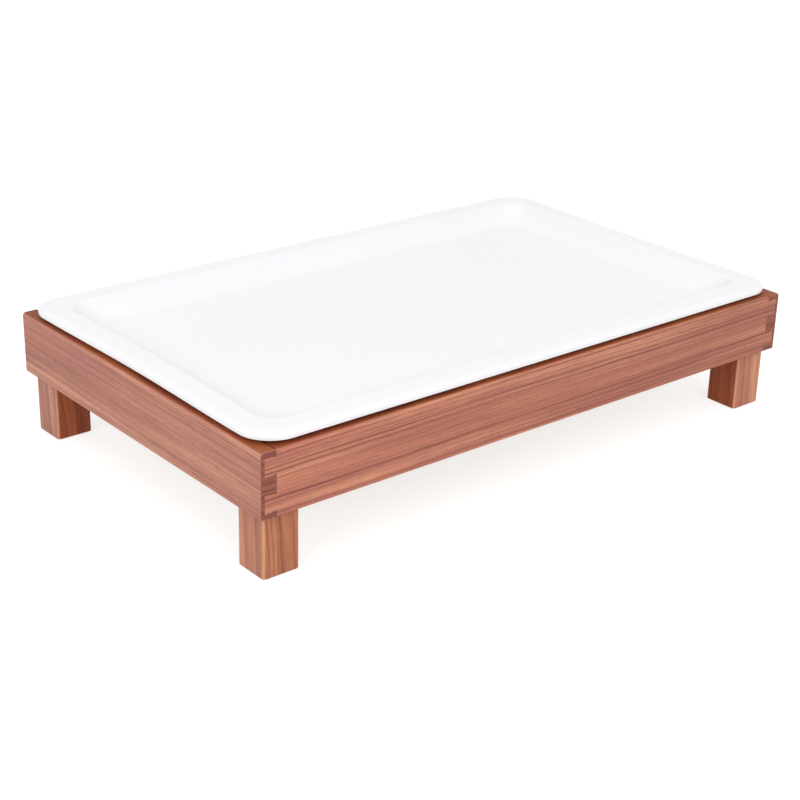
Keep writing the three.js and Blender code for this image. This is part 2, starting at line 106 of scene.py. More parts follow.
class TimberSettings(bpy.types.PropertyGroup):
    """Sizes of the joinery and colours of the walnut"""

    edge_ease: length("Edge rounding", "Radius worked on the edges of the rails", 1 * MM)
    top_ease: length("Top rounding", "Radius worked on the top outside edge of the rails", 3 * MM)
    leg_ease: length("Leg rounding", "Radius worked on the upright edges of the legs", 3 * MM)
    foot_ease: length("Foot rounding", "Radius worked round the lower ends of the legs", 1 * MM)
    tail_count: count("Tails", "Dovetails at each end of a long rail", 2)
    edge_pin: length("Edge pin", "Pin at the top and the bottom of a rail, at the ends of the tails", 4 * MM)
    middle_pin: length("Middle pin", "Pin between two tails, at the ends of the tails", 13 * MM)
    tail_flare: length("Tail flare", "Spread of each side of a tail towards its end", 1 * MM)
    glue_gap: length("Glue line", "Room between a tail and its socket", 0.15 * MM)
    panel_gap: length("Panel room", "Room round the base panel in its groove", 0.3 * MM)
    stub_gap: length("Stub room", "Room between the top of a leg and the rails", 0.2 * MM)
    light: colour("Light walnut", "Pale wood between the streaks", (0.635, 0.266, 0.162))
    middle: colour("Middle walnut", "Main colour of the wood", (0.497, 0.184, 0.114))
    rose: colour("Rosy walnut", "Clouds of redder wood", (0.43, 0.147, 0.106))
    streak: colour("Streak", "Dark lines of the figure", (0.24, 0.073, 0.055))
    # Painted shade: this tint deepens every face but the listed outer faces and the up-facing ones
    painted_shade: colour("Painted shade tint", "Painted shade on every face but the listed outer faces and the up-facing ones", (0.78, 0.52, 0.34))
    # Painted shade: this tint darkens the up-facing faces, as the tray's rim shades the rail tops
    painted_top_shade: colour("Painted top shade", "Painted shade on the up-facing faces, as under the tray's rim", (0.61, 0.40, 0.235))
    # Paler wood from rubbing, and a painted highlight, along the rounded edges
    rubbed_and_highlit: colour("Rubbed and highlit edge", "Pale wood from rubbing, and a painted highlight, along the rounded edges", (0.74, 0.37, 0.21))
    end_grain: colour("End grain", "Wood cut across its fibres", (0.215, 0.070, 0.052))


class FixingSettings(bpy.types.PropertyGroup):
    """Sizes and colours of the screws, inserts and foot pads"""

    screw_pitch: length("Screw pitch", "Rise of the screw thread in one turn", 1 * MM)
    screw_depth: length("Screw thread depth", "Depth of the screw thread", 0.5 * MM)
    screw_radius: length("Screw radius", "Outside radius of the screw thread", 3 * MM)
    screw_tip: length("Screw tip", "Bevel at the end of a screw", 0.6 * MM)
    screw_spare: length("Spare hole", "Hole left free under a screw", 3 * MM)
    head_edge: length("Head edge", "Upright edge of a screw's head", 0.3 * MM)
    socket_width: length("Socket width", "Across the flats of the hexagon socket", 4 * MM)
    socket_depth: length("Socket depth", "Depth of the hexagon socket", 1.8 * MM)
    insert_pitch: length("Insert pitch", "Rise of the insert's wood thread in one turn", 2.6 * MM)
    insert_depth: length("Insert thread depth", "Depth of the insert's wood thread", 0.7 * MM)
    insert_bore: length("Insert bore", "Radius of the hole through an insert", 3.1 * MM)
    insert_slot: length("Insert slot", "Width and depth of the driving slot in an insert", 1.4 * MM)
    insert_ease: length("Insert bevel", "Bevel at both ends of an insert", 0.4 * MM)
    bore_gap: length("Bore room", "Room round an insert, a screw and a pad", 0.2 * MM)
    pad_ease: length("Pad rounding", "Rounding on the lower edge of a foot pad", 0.5 * MM)
    stud_height: length("Stud height", "Height of the grip studs under a foot pad", 0.3 * MM)
    stud_pitch: length("Stud pitch", "Distance between the grip studs", 2.6 * MM)
    stud_margin: length("Stud margin", "Plain rim round the middles of the outer studs", 1.69 * MM)
    brass: colour("Brass", "Threaded inserts", (0.62, 0.40, 0.12))
    steel: colour("Steel", "Leg screws", (0.50, 0.52, 0.54))
    rubber: colour("Rubber", "Foot pads", (0.040, 0.035, 0.030))
    tarnish: colour("Tarnish", "Tarnished brass", (0.34, 0.20, 0.07))
    stain: colour("Stain", "Stained steel", (0.30, 0.30, 0.33))
    dust: colour("Dust", "Dust on the rubber", (0.20, 0.18, 0.16))


class WellSettings(bpy.types.PropertyGroup):
    """Sizes and colours of the insulated well and the cold packs"""

    panel_ease: length("Panel rounding", "Rounding on the edges of the base panel", 0.5 * MM)
    plies: count("Plies", "Half waves of the plies' tone through the base panel", 5)
    board_ease: length("Board rounding", "Rounding on the edges of the cork board", 0.8 * MM)
    board_corner: length("Board corner", "Plan radius of the cork board", 2 * MM)
    board_crumble: length("Board crumble", "Most that a granule of the cork's edge is set back", 0.35 * MM)
    liner_wall: length("Liner wall", "Thickness of the formed sheet", 1.6 * MM)
    liner_lean: length("Liner lean", "The liner's walls lean out by this much", 1.5 * MM)
    liner_corner: length("Liner corner", "Plan radius at the liner's rim", 20 * MM)
    liner_fillet: length("Liner fillet", "Radius between the liner's floor and walls", 5 * MM)
    pack_corner: length("Pack corner", "Plan radius of a cold pack", 14 * MM)
    pack_edge: length("Pack edge", "Rounding of a pack's upper and lower edges", 3 * MM)
    pack_wall: length("Pack wall", "Thickness of a pack's shell", 1.8 * MM)
    notch_width: length("Notch width", "Recess for the filler neck", 40 * MM)
    notch_depth: length("Notch depth", "Recess for the filler neck", 16 * MM)
    notch_fillet: length("Notch fillet", "Rounding of the recess in plan", 4 * MM)
    channel_count: count("Channels", "Stiffening channels in a pack's top", 3)
    channel_width: length("Channel width", "Width of a stiffening channel", 12 * MM)
    channel_depth: length("Channel depth", "Depth of a stiffening channel", 1 * MM)
    channel_margin: length("Channel margin", "End of a channel to the edge of the pack", 26 * MM)
    neck_length: length("Neck length", "Filler neck outside the recess", 4 * MM)
    neck_wall: length("Neck wall", "Thickness of the filler neck", 1.8 * MM)
    cap_length: length("Cap length", "Height of a filler cap", 6 * MM)
    cap_ease: length("Cap rounding", "Rounding on the edges of a filler cap", 0.8 * MM)
    cap_rim: length("Cap rim", "Width of the flat ring round a cap's dished top", 2.4 * MM)
    cap_ridges: count("Cap ridges", "Grip ridges round a filler cap", 18)
    cap_ridge: length("Ridge depth", "Depth of the grip ridges", 0.6 * MM)
    cap_gap: length("Cap room", "Room between a cap and its neck", 0.3 * MM)
    veneer: colour("Veneer", "Face of the plywood", (0.58, 0.39, 0.19))
    cork: colour("Cork", "Insulation board", (0.46, 0.25, 0.11))
    liner: colour("Liner", "Formed plastic sheet", (0.025, 0.026, 0.028))
    shell: colour("Pack shell", "Moulded shell of the cold packs", (0.69, 0.79, 0.85))
    gel: colour("Gel", "Freezing gel in the packs", (0.11, 0.37, 0.57))
    cap: colour("Cap", "Filler caps", (0.03, 0.16, 0.35))
    late_wood: colour("Late wood", "Darker loops in the veneer", (0.40, 0.235, 0.10))
    cross_ply: colour("Cross ply", "Plies that show their ends", (0.30, 0.17, 0.075))
    pale_cork: colour("Pale cork", "Palest granules of the cork", (0.60, 0.37, 0.19))
    binder: colour("Binder", "Dark seams between the granules", (0.17, 0.08, 0.035))
    cork_speck: colour("Cork specks", "Dark specks in the granules", (0.22, 0.11, 0.05))
    rub_mark: colour("Rub marks", "Paler marks on the liner", (0.075, 0.077, 0.080))
    parting: colour("Parting line", "Pale line round the middle of a pack", (0.82, 0.88, 0.92))
    bubble: colour("Bubbles", "Pale bubbles in the gel", (0.55, 0.75, 0.86))
    worn_cap: colour("Worn cap", "Paler plastic where fingers wear it", (0.10, 0.27, 0.48))


class TraySettings(bpy.types.PropertyGroup):
    """Sizes and colours of the glazed tray"""

    rim_width: length("Rim width", "Outer edge to the start of the well", 20 * MM)
    rim_thickness: length("Rim thickness", "Thickness of the rim", 5.4 * MM)
    corner: length("Corner", "Plan radius of the outer corners", 26 * MM)
    well_corner: length("Well corner", "Plan radius of the corners of the well", 17 * MM)
    wall_run: length("Wall run", "Plan width of the sloping wall", 28.5 * MM)
    wall_top_ease: length("Upper ease", "How far the rim's level leads into the wall", 4.5 * MM)
    wall_foot_ease: length("Lower ease", "How far the floor's level leads into the wall", 21 * MM)
    floor_thickness: length("Floor thickness", "Thickness of the floor", 5.4 * MM)
    lip_round: length("Lip rounding", "Plan width of the rounding on the rim's upper edge", 8.3 * MM)
    lip_drop: length("Lip drop", "Height of that rounding", 3.4 * MM)
    lip_under: length("Lip underside", "Rounding below the rim's upright edge", 0.5 * MM)
    end_bow: length("End bow", "The short sides are drawn in at their middles", 2 * MM)
    foot_width: length("Foot width", "Width of the ring that the tray stands on", 9 * MM)
    foot_height: length("Foot height", "Height of that ring", 0.8 * MM)
    glaze: colour("Glaze", "White glaze", (0.905, 0.900, 0.925))
    bisque: colour("Bisque", "Unglazed foot ring", (0.74, 0.70, 0.63))
    fleck: colour("Flecks", "Small specks in the glaze", (0.60, 0.58, 0.55))


class StageSettings(bpy.types.PropertyGroup):
    """Floor, light and camera"""

    floor_size: length("Floor size", "Side of the square floor", 16)
    floor: colour("Floor", "Colour of the floor", (0.80, 0.80, 0.80))
    sky: amount("Sky", "Strength of the white dome of light", 0.80)
    lamp_size: length("Lamp size", "Diameter of the two lamps", 2)
    left: amount("Left light", "Power of the large lamp at the left", 28)
    front: amount("Front light", "Power of the large lamp at the front", 30)
    lens: FloatProperty(name="Lens", description="Focal length", default=77.04, unit="CAMERA")
    camera_place: FloatVectorProperty(
        name="Camera place", description="Where the camera stands", subtype="TRANSLATION", unit="LENGTH",
        default=(-0.84668, -0.99610, 0.58352),
    )
    camera_turn: FloatVectorProperty(
        name="Camera turn", description="Azimuth, fall and roll of the view", unit="ROTATION",
        default=tuple(math.radians(angle) for angle in (40.02, 23.58, 1.51)),
    )


# Node trees written as expressions

MATH_INPUTS = ("Value", "Value_001", "Value_002")


class Signal:
    """An output socket; arithmetic on it adds Math nodes to its tree."""

    def __init__(self, graph, socket):
        self.graph = graph
        self.socket = socket

    def out(self, identifier):
        """Another output of the same node."""
        found = next(socket for socket in self.socket.node.outputs if socket.identifier == identifier)
        return Signal(self.graph, found)

    def math(self, operation, *others):
        return self.graph.math(operation, self, *others)

    def __add__(self, other):
        return self.math("ADD", other)

    def __radd__(self, other):
        return self.math("ADD", other)

    def __sub__(self, other):
        return self.math("SUBTRACT", other)

    def __rsub__(self, other):
        return self.graph.math("SUBTRACT", other, self)

    def __mul__(self, other):
        return self.math("MULTIPLY", other)

    def __rmul__(self, other):
        return self.math("MULTIPLY", other)

    def __truediv__(self, other):
        return self.math("DIVIDE", other)

    def __pow__(self, other):
        return self.math("POWER", other)

    def __abs__(self):
        return self.math("ABSOLUTE")


class Graph:
    """A node tree, with one method that adds nodes to it and short forms of the nodes used most."""

    def __init__(self, tree):
        self.tree = tree
        tree.nodes.clear()

    def add(self, kind, settings=None, inputs=None, output=None):
        """Adds a node: its settings first, then the values or links of its sockets by identifier."""
        node = self.tree.nodes.new(kind)
        for key, value in (settings or {}).items():
            setattr(node, key, value)
        sockets = {socket.identifier: socket for socket in node.inputs}
        for key, value in (inputs or {}).items():
            if isinstance(value, Signal):
                self.tree.links.new(value.socket, sockets[key])
            else:
                sockets[key].default_value = value
        shown = [socket for socket in node.outputs if socket.enabled]
        chosen = [socket for socket in shown if output in (None, socket.identifier)]
        return Signal(self, chosen[0]) if chosen else None

    def math(self, operation, *values):
        return self.add("ShaderNodeMath", {"operation": operation}, dict(zip(MATH_INPUTS, values)))

    def split(self, vector):
        parts = self.add("ShaderNodeSeparateXYZ", None, {"Vector": vector})
        return [parts.out(axis) for axis in "XYZ"]

    def vector(self, x, y, z):
        return self.add("ShaderNodeCombineXYZ", None, {"X": x, "Y": y, "Z": z})

    def noise(self, vector, scale=1.0, detail=2.0, roughness=0.5):
        inputs = {"Vector": vector, "Scale": scale, "Detail": detail, "Roughness": roughness}
        return self.add("ShaderNodeTexNoise", None, inputs, "Fac")

    def cells(self, vector, scale, feature="F1", output="Distance"):
        settings = {"feature": feature}
        return self.add("ShaderNodeTexVoronoi", settings, {"Vector": vector, "Scale": scale}, output)

    def step(self, value, low, high):
        """0 at low, 1 at high, smooth between them; low may be the larger of the two."""
        inputs = {"Value": value, "From Min": low, "From Max": high}
        return self.add("ShaderNodeMapRange", {"interpolation_type": "SMOOTHSTEP"}, inputs, "Result")

    def mix(self, factor, first, second, blend="MIX"):
        settings = {"data_type": "RGBA", "blend_type": blend}
        inputs = {"Factor_Float": factor, "A_Color": first, "B_Color": second}
        return self.add("ShaderNodeMix", settings, inputs, "Result_Color")

    def shade(self, tone, value):
        """The colour made darker or lighter by a value."""
        grey = self.vector(value, value, value)
        return self.mix(1.0, tone, grey, "MULTIPLY")

    def bump(self, height, distance, strength=0.5):
        inputs = {"Height": height, "Distance": distance, "Strength": strength}
        return self.add("ShaderNodeBump", None, inputs)

    def place(self):
        return self.add("ShaderNodeTexCoord", output="Object")

    def facing(self):
        return self.add("ShaderNodeTexCoord", output="Normal")

    def seen(self):
        """1 for what the camera sees directly, in a reflection or through glass."""
        path = self.add("ShaderNodeLightPath", output="Is Camera Ray")
        reflected = path.math("MAXIMUM", path.out("Is Glossy Ray"))
        return reflected.math("MAXIMUM", path.out("Is Transmission Ray"))


def new_material(name):
    made = bpy.data.materials.new(name)
    made.use_nodes = True
    return made, Graph(made.node_tree)


def surface(name, recipe, *details):
    """A Principled material; recipe(graph, *details) gives its sockets that aren't left as they are."""
    made, graph = new_material(name)
    shader = graph.add("ShaderNodeBsdfPrincipled", None, recipe(graph, *details))
    graph.add("ShaderNodeOutputMaterial", None, {"Surface": shader})
    return made


# Meshes

CORNER_STEPS = 14
EDGE_STEPS = 6
EASE_STEPS = 4
ROUND_STEPS = 48


def new_object(name, data):
    """An object in the scene for a mesh, a lamp or a camera."""
    made = bpy.data.objects.new(name, data)
    bpy.context.scene.collection.objects.link(made)
    return made


def mesh_of(points, faces):
    """A closed mesh with doubles merged and faces pointing out."""
    mesh = bpy.data.meshes.new("form")
    mesh.from_pydata([tuple(point) for point in points], [], faces)
    work = bmesh.new()
    work.from_mesh(mesh)
    bmesh.ops.remove_doubles(work, verts=work.verts, dist=MERGE_DISTANCE)
    bmesh.ops.recalc_face_normals(work, faces=work.faces)
    work.to_mesh(mesh)
    work.free()
    return mesh


def angles(steps, sweep=math.pi / 2):
    """Equal steps of an angle, with both ends."""
    return [sweep * step / steps for step in range(steps + 1)]


def loft(rings):
    """Closed skin over rings of equal length, with the first and the last ring filled."""
    size = len(rings[0])
    points = [point for ring in rings for point in ring]
    faces = [tuple(range(size)), tuple(range(len(points) - size, len(points)))]
    for level in range(len(rings) - 1):
        for step in range(size):
            near = level * size + step
            beside = level * size + (step + 1) % size
            faces.append((near, beside, beside + size, near + size))
    return mesh_of(points, faces)


def prism(corners, axis, low, high):
    """Flat outline carried along one axis; the outline's own axes are the other two, in order."""
    def corner(point, reach):
        values = list(point)
        values.insert("XYZ".index(axis), reach)
        return Vector(values)

    return loft([[corner(point, reach) for point in corners] for reach in (low, high)])


def turned(profile, steps=ROUND_STEPS):
    """Piece turned about Z from a closed profile of (radius, height), with how far it is worked if it is."""
    rows = [(*point, 0)[:3] for point in profile]
    points = []
    for radius, height, _ in rows:
        for step in range(steps):
            angle = 2 * math.pi * step / steps
            points.append(Vector((radius * math.cos(angle), radius * math.sin(angle), height)))
    faces = []
    for level, row in enumerate(rows):
        above = (level + 1) % len(rows)
        on_axis, above_on_axis = row[0] == 0, rows[above][0] == 0
        if on_axis and above_on_axis:
            continue
        near, far = level * steps, above * steps
        for step in range(steps):
            beside = (step + 1) % steps
            corners = [near + step, near + beside, far + beside, far + step]
            if on_axis:
                corners.pop(1)
            elif above_on_axis:
                corners.pop(2)
            faces.append(tuple(corners))
    mesh = mesh_of(points, faces)
    worked = {(round(radius, 7), round(height, 7)): share for radius, height, share in rows}
    attribute = mesh.attributes.new("worked", "FLOAT", "POINT")
    for vertex in mesh.vertices:
        key = (round(math.hypot(vertex.co.x, vertex.co.y), 7), round(vertex.co.z, 7))
        attribute.data[vertex.index].value = worked.get(key, 0)
    return mesh


def cylinder(radius, low, high, centre=(0, 0)):
    mesh = turned([(0, low), (radius, low), (radius, high), (0, high)])
    mesh.transform(Matrix.Translation((*centre, 0)))
    return mesh


class Arris(NamedTuple):
    """An edge of a block."""

    middle: Vector
    axis: str  # the axis that it mostly runs along


def block(low, high, *passes):
    """Block whose sharp edges are rounded in passes, each a radius and a test of an Arris."""
    work = bmesh.new()
    bmesh.ops.create_cube(work, size=1)
    for vertex in work.verts:
        vertex.co = Vector(last if side > 0 else first for first, last, side in zip(low, high, vertex.co))
    for ease, is_eased in passes:
        picked = []
        for edge in work.edges:
            first, last = (vertex.co for vertex in edge.verts)
            run = [abs(value) for value in last - first]
            arris = Arris((first + last) / 2, "XYZ"[run.index(max(run))])
            if edge.calc_face_angle() > SHARP_ANGLE and is_eased(arris):
                picked.append(edge)
        bmesh.ops.bevel(
            work, geom=picked, offset=ease, offset_type="OFFSET", segments=EASE_STEPS, profile=0.5,
            affect="EDGES", clamp_overlap=True,
        )
    mesh = bpy.data.meshes.new("form")
    work.to_mesh(mesh)
    work.free()
    return mesh


def outline(corners, height, side_steps=1):
    """Ring round right-angled corners of (x, y, radius), each turned to an arc."""
    total = len(corners)
    arcs = []
    for index, (x, y, radius) in enumerate(corners):
        point = Vector((x, y))
        before = (point - Vector(corners[index - 1][:2])).normalized()
        after = (Vector(corners[(index + 1) % total][:2]) - point).normalized()
        centre = point - before * radius + after * radius
        turns = angles(CORNER_STEPS)
        arcs.append([centre + radius * (before * math.sin(turn) - after * math.cos(turn)) for turn in turns])
    ring = []
    for index, arc in enumerate(arcs):
        ring += arc
        start, end = arc[-1], arcs[(index + 1) % total][0]
        ring += [start.lerp(end, step / side_steps) for step in range(1, side_steps)]
    return [Vector((*point, height)) for point in ring]


def rectangle(low, high, radius, inset=0):
    """Anticlockwise corners of a rectangle drawn in by an inset."""
    left, front = low[0] + inset, low[1] + inset
    right, back = high[0] - inset, high[1] - inset
    return [(right, front, radius), (right, back, radius), (left, back, radius), (left, front, radius)]


def rounded_slab(corners_at, low, high, edge, side_steps=1):
    """Slab over corners_at(inset) with its upper and lower edges rounded."""
    section = [(edge * (1 - math.sin(turn)), edge * (1 - math.cos(turn))) for turn in angles(EDGE_STEPS)]
    rings = [outline(corners_at(inset), low + rise, side_steps) for inset, rise in section]
    rings += [outline(corners_at(inset), high - rise, side_steps) for inset, rise in reversed(section)]
    return loft(rings)


def plain_mesh(obj):
    """The object's evaluated mesh; the object is removed."""
    graph = bpy.context.evaluated_depsgraph_get()
    graph.update()
    mesh = bpy.data.meshes.new_from_object(obj.evaluated_get(graph))
    bpy.data.objects.remove(obj)
    return mesh


def carve(mesh, tools, operation="DIFFERENCE"):
    """The mesh with each tool cut away from it or joined to it."""
    piece = new_object("work", mesh)
    helpers = [new_object("tool", tool) for tool in tools]
    for helper in helpers:
        modifier = piece.modifiers.new("carve", "BOOLEAN")
        modifier.operation = operation
        modifier.solver = "EXACT"
        modifier.object = helper
    result = plain_mesh(piece)
    for helper in helpers:
        bpy.data.objects.remove(helper)
    if not result.polygons:
        raise RuntimeError("a cut left nothing of a piece")
    return result


def smooth(mesh):
    """Smooth shading that keeps flat faces flat."""
    mesh.shade_smooth()
    mesh.set_sharp_from_angle(angle=SHARP_ANGLE)
    piece = new_object("work", mesh)
    modifier = piece.modifiers.new("flat faces lead", "WEIGHTED_NORMAL")
    modifier.keep_sharp = True
    modifier.weight = 100
    return plain_mesh(piece)


def stand_in_box(mesh, node):
    """Moves a piece made about Z, from height 0, to the middle of its node's box."""
    low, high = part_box(node)
    mesh.transform(Matrix.Translation(((low.x + high.x) / 2, (low.y + high.y) / 2, low.z)))
    return mesh


def add_piece(node, word, mesh, finish, body, slot):
    """Puts a finished mesh in the place of its CAD node."""
    mesh.materials.clear()
    mesh.materials.append(finish)
    piece = new_object(f"{node}_{word}", mesh)
    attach(piece, body)
    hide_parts(node)


# Geometry Nodes

STUD_SIDES = 10
STUD_FOOT, STUD_TIP = 0.36, 0.26  # radii of a stud at the pad and at its end, against the pitch


def nodes_tree(name, inputs):
    """An empty geometry tree with a Geometry input, the named inputs and a Geometry output."""
    tree = bpy.data.node_groups.new(name, "GeometryNodeTree")
    tree.interface.new_socket("Geometry", in_out="INPUT", socket_type="NodeSocketGeometry")
    for label, kind in inputs.items():
        tree.interface.new_socket(label, in_out="INPUT", socket_type=f"NodeSocket{kind}")
    tree.interface.new_socket("Geometry", in_out="OUTPUT", socket_type="NodeSocketGeometry")
    graph = Graph(tree)
    given = graph.add("NodeGroupInput")
    signals = {socket.name: Signal(graph, socket) for socket in given.socket.node.outputs}
    return graph, signals


def end_tree(graph, geometry, finish):
    """Realize Instances, Set Material and the group's output."""
    real = graph.add("GeometryNodeRealizeInstances", None, {"Geometry": geometry})
    dressed = graph.add("GeometryNodeSetMaterial", None, {"Geometry": real, "Material": finish})
    result = next(item.identifier for item in graph.tree.interface.items_tree if item.in_out == "OUTPUT")
    graph.add("NodeGroupOutput", None, {result: dressed})
    return graph.tree


def worked_surface_tree():
    """Cuts a helical thread and straight ridges into a turned piece, as far as it is worked."""
    inputs = {
        "Thread Pitch": "Float", "Thread Depth": "Float", "Ridge Count": "Float", "Ridge Depth": "Float",
        "Finish": "Material",
    }
    graph, given = nodes_tree("worked surface", inputs)
    x, y, z = graph.split(graph.add("GeometryNodeInputPosition"))
    angle = graph.math("ARCTAN2", y, x)
    turn = z / given["Thread Pitch"] - angle / (2 * math.pi)
    thread = abs(turn.math("FRACT") * 2 - 1)
    ridge = 0.5 - 0.5 * (given["Ridge Count"] * angle).math("COSINE")
    worked = graph.add("GeometryNodeInputNamedAttribute", {"data_type": "FLOAT"}, {"Name": "worked"})
    cut = worked * (thread * given["Thread Depth"] + ridge * given["Ridge Depth"])
    inward = graph.vector(-1 * cut * angle.math("COSINE"), -1 * cut * angle.math("SINE"), 0.0)
    moved = graph.add("GeometryNodeSetPosition", None, {"Geometry": given["Geometry"], "Offset": inward})
    return end_tree(graph, moved, given["Finish"])


def grip_studs_tree():
    """A square field of studs, kept inside a circle, standing half above and half below height 0."""
    inputs = {"Radius": "Float", "Pitch": "Float", "Height": "Float", "Finish": "Material"}
    graph, given = nodes_tree("grip studs", inputs)
    across = (2 * given["Radius"] / given["Pitch"]).math("ROUND")
    span = across * given["Pitch"]
    field = graph.add(
        "GeometryNodeMeshGrid", None,
        {"Size X": span, "Size Y": span, "Vertices X": across + 1, "Vertices Y": across + 1}, "Mesh",
    )
    x, y, _ = graph.split(graph.add("GeometryNodeInputPosition"))
    outside = (x * x + y * y).math("GREATER_THAN", given["Radius"] * given["Radius"])
    picked = {"Geometry": field, "Selection": outside}
    kept = graph.add("GeometryNodeDeleteGeometry", {"domain": "POINT"}, picked)
    sizes = {
        "Vertices": STUD_SIDES, "Depth": given["Height"] * 2,
        "Radius Top": given["Pitch"] * STUD_FOOT, "Radius Bottom": given["Pitch"] * STUD_TIP,
    }
    stud = graph.add("GeometryNodeMeshCone", {"fill_type": "NGON"}, sizes, "Mesh")
    studs = graph.add("GeometryNodeInstanceOnPoints", None, {"Points": kept, "Instance": stud})
    return end_tree(graph, studs, given["Finish"])


def run_tree(mesh, tree, values):
    """The mesh after a tree, with the tree's named inputs set by their identifiers."""
    piece = new_object("work", mesh)
    modifier = piece.modifiers.new("shape", "NODES")
    modifier.node_group = tree
    for item in tree.interface.items_tree:
        if item.in_out == "INPUT" and item.name in values:
            modifier[item.identifier] = values[item.name]
    return plain_mesh(piece)


# Walnut

class Board(NamedTuple):
    """How a piece of timber was sawn from its log."""

    axes: str  # the piece's directions along, across and through the grain
    origin: tuple  # point that the figure is measured from
    heart: tuple  # the log's middle, measured across and through the board from that point
    taper: float  # change of the rings along the board
    wave: float  # how many times the grain wanders in a metre
    streaks: tuple  # (mm across the rings, half width in mm, strength) of each main dark streak
    outside: tuple  # (axis, side, tint) of each outer face that takes its own tint, a painted sheen or shade, instead of the painted shade
    worn_and_highlit: float  # how far the edges are paled by rubbing and given a painted highlight
    deepening: float  # how much darker the board gets in a metre along it
    seed: float  # where the board's noise is taken from


SWAY, RIPPLE = 3.2 * MM, 1.1 * MM  # long and short wander of the grain across its rings
FACE_EDGE = (0.3, 0.85)  # a face's tint comes in between these shares of its direction


def grain(graph, board):
    """Places along and through a board and across its rings, with the wander of the grain."""
    place = dict(zip("XYZ", graph.split(graph.place())))
    along, across, through = (place[axis] - board.origin["XYZ".index(axis)] for axis in board.axes)
    heart_across, heart_through = board.heart
    slow = graph.vector(along * board.wave + board.seed, across * 14, through * 14)
    quick = graph.vector(along * 26, across * 60, through * 60 + board.seed)
    sway, ripple = (graph.noise(wander, detail=1) - 0.5 for wander in (slow, quick))
    spread = (across - heart_across) ** 2 + (through - heart_through) ** 2
    rings = spread ** 0.5 - math.hypot(*board.heart) + along * board.taper
    return along, through, rings + sway * SWAY + ripple * RIPPLE


def dark_figure(graph, board, along, ring, lines):
    """Share of dark wood: fine lines, and the main streaks, which fade in and out along the board."""
    drift = graph.noise(graph.vector(along * 11, ring * 60, board.seed + 7), detail=1)
    fade = graph.step(drift, 0.2, 0.6) * 0.6 + 0.4
    figure = graph.step(lines, 0.46, 0.68) * 0.55
    for distance, half_width, strength in board.streaks:
        offset = abs(ring - distance * MM) / (half_width * MM)
        figure = figure + graph.step(offset, 1.5, 0.0) * fade * strength
    return figure.math("MINIMUM", 1.0)


def painted_light_tint(graph, board, facing, timber):
    """Painted light on the wood: painted shade, deeper on the up-facing faces, and on each listed outer face
    its own tint, a painted sheen or shade.
    """
    tint = graph.mix(graph.step(facing["Z"], *FACE_EDGE), timber.painted_shade, timber.painted_top_shade)
    # Each listed outer face takes its own painted sheen or shade in place of the painted shade
    for axis, side, painted_face_tint in board.outside:
        tint = graph.mix(graph.step(facing[axis] * side, *FACE_EDGE), tint, (*painted_face_tint, 1))
    return tint


def walnut(graph, board, timber):
    """Walnut with a streaked figure, fine fibres, pores and darker end grain, painted shade and sheen by
    face, and pale edges with a painted highlight.
    """
    facing = dict(zip("XYZ", graph.split(graph.facing())))
    along, through, ring = grain(graph, board)
    bands = graph.noise(graph.vector(along * 2.2, ring * 95, board.seed), detail=1)
    lines = graph.noise(graph.vector(along * 4, ring * 600, board.seed + 3), detail=3, roughness=0.6)
    blush = graph.noise(graph.vector(along * 7, ring * 120, board.seed + 5), detail=2)
    fibres = graph.noise(graph.vector(along * 60, ring * 1300, through * 1300), detail=3, roughness=0.65)
    pores = graph.noise(graph.vector(along * 130, ring * 2600, through * 2600), detail=1)
    open_pores = graph.step(pores, 0.60, 0.70)
    wood = graph.mix(graph.step(bands, 0.36, 0.64), timber.light, timber.middle)
    wood = graph.mix(graph.step(blush, 0.40, 0.66) * 0.7, wood, timber.rose)
    wood = graph.mix(dark_figure(graph, board, along, ring, lines), wood, timber.streak)
    cut_across = graph.step(abs(facing[board.axes[0]]), 0.55, 0.9)
    end_wood = graph.mix(graph.step(lines, 0.4, 0.6) * 0.35, timber.end_grain, timber.middle)
    wood = graph.mix(cut_across, wood, end_wood)
    # Painted shade and sheen: each face's tint by the way it faces
    wood = graph.mix(1.0, wood, painted_light_tint(graph, board, facing, timber), "MULTIPLY")
    # Rounded edges: paler from rubbing, with a painted highlight, and a little glossier
    flat = abs(facing["X"]).math("MAXIMUM", abs(facing["Y"])).math("MAXIMUM", abs(facing["Z"]))
    worn_and_highlit = 1 - graph.step(flat, 0.80, 0.99)
    wood = graph.mix(worn_and_highlit * board.worn_and_highlit, wood, timber.rubbed_and_highlit)
    tone = (0.64 + fibres * 0.80 - open_pores * 0.22) * (1 - along * board.deepening)
    return {
        "Base Color": graph.shade(wood, tone),
        "Roughness": 0.46 + fibres * 0.12 + open_pores * 0.15 + cut_across * 0.12 - worn_and_highlit * 0.08,
        "Normal": graph.bump(fibres * 0.5 - open_pores, 0.08 * MM),
        "IOR": 1.45,
        "Specular IOR Level": 0.3,
    }


def add_timber(node, mesh, board):
    """Puts a piece of walnut with its own figure in the place of its CAD node."""
    finish = surface(f"walnut {node}", walnut, board, bpy.context.scene.tray_timber)
    add_piece(node, "walnut", mesh, finish, "frame", "walnut")


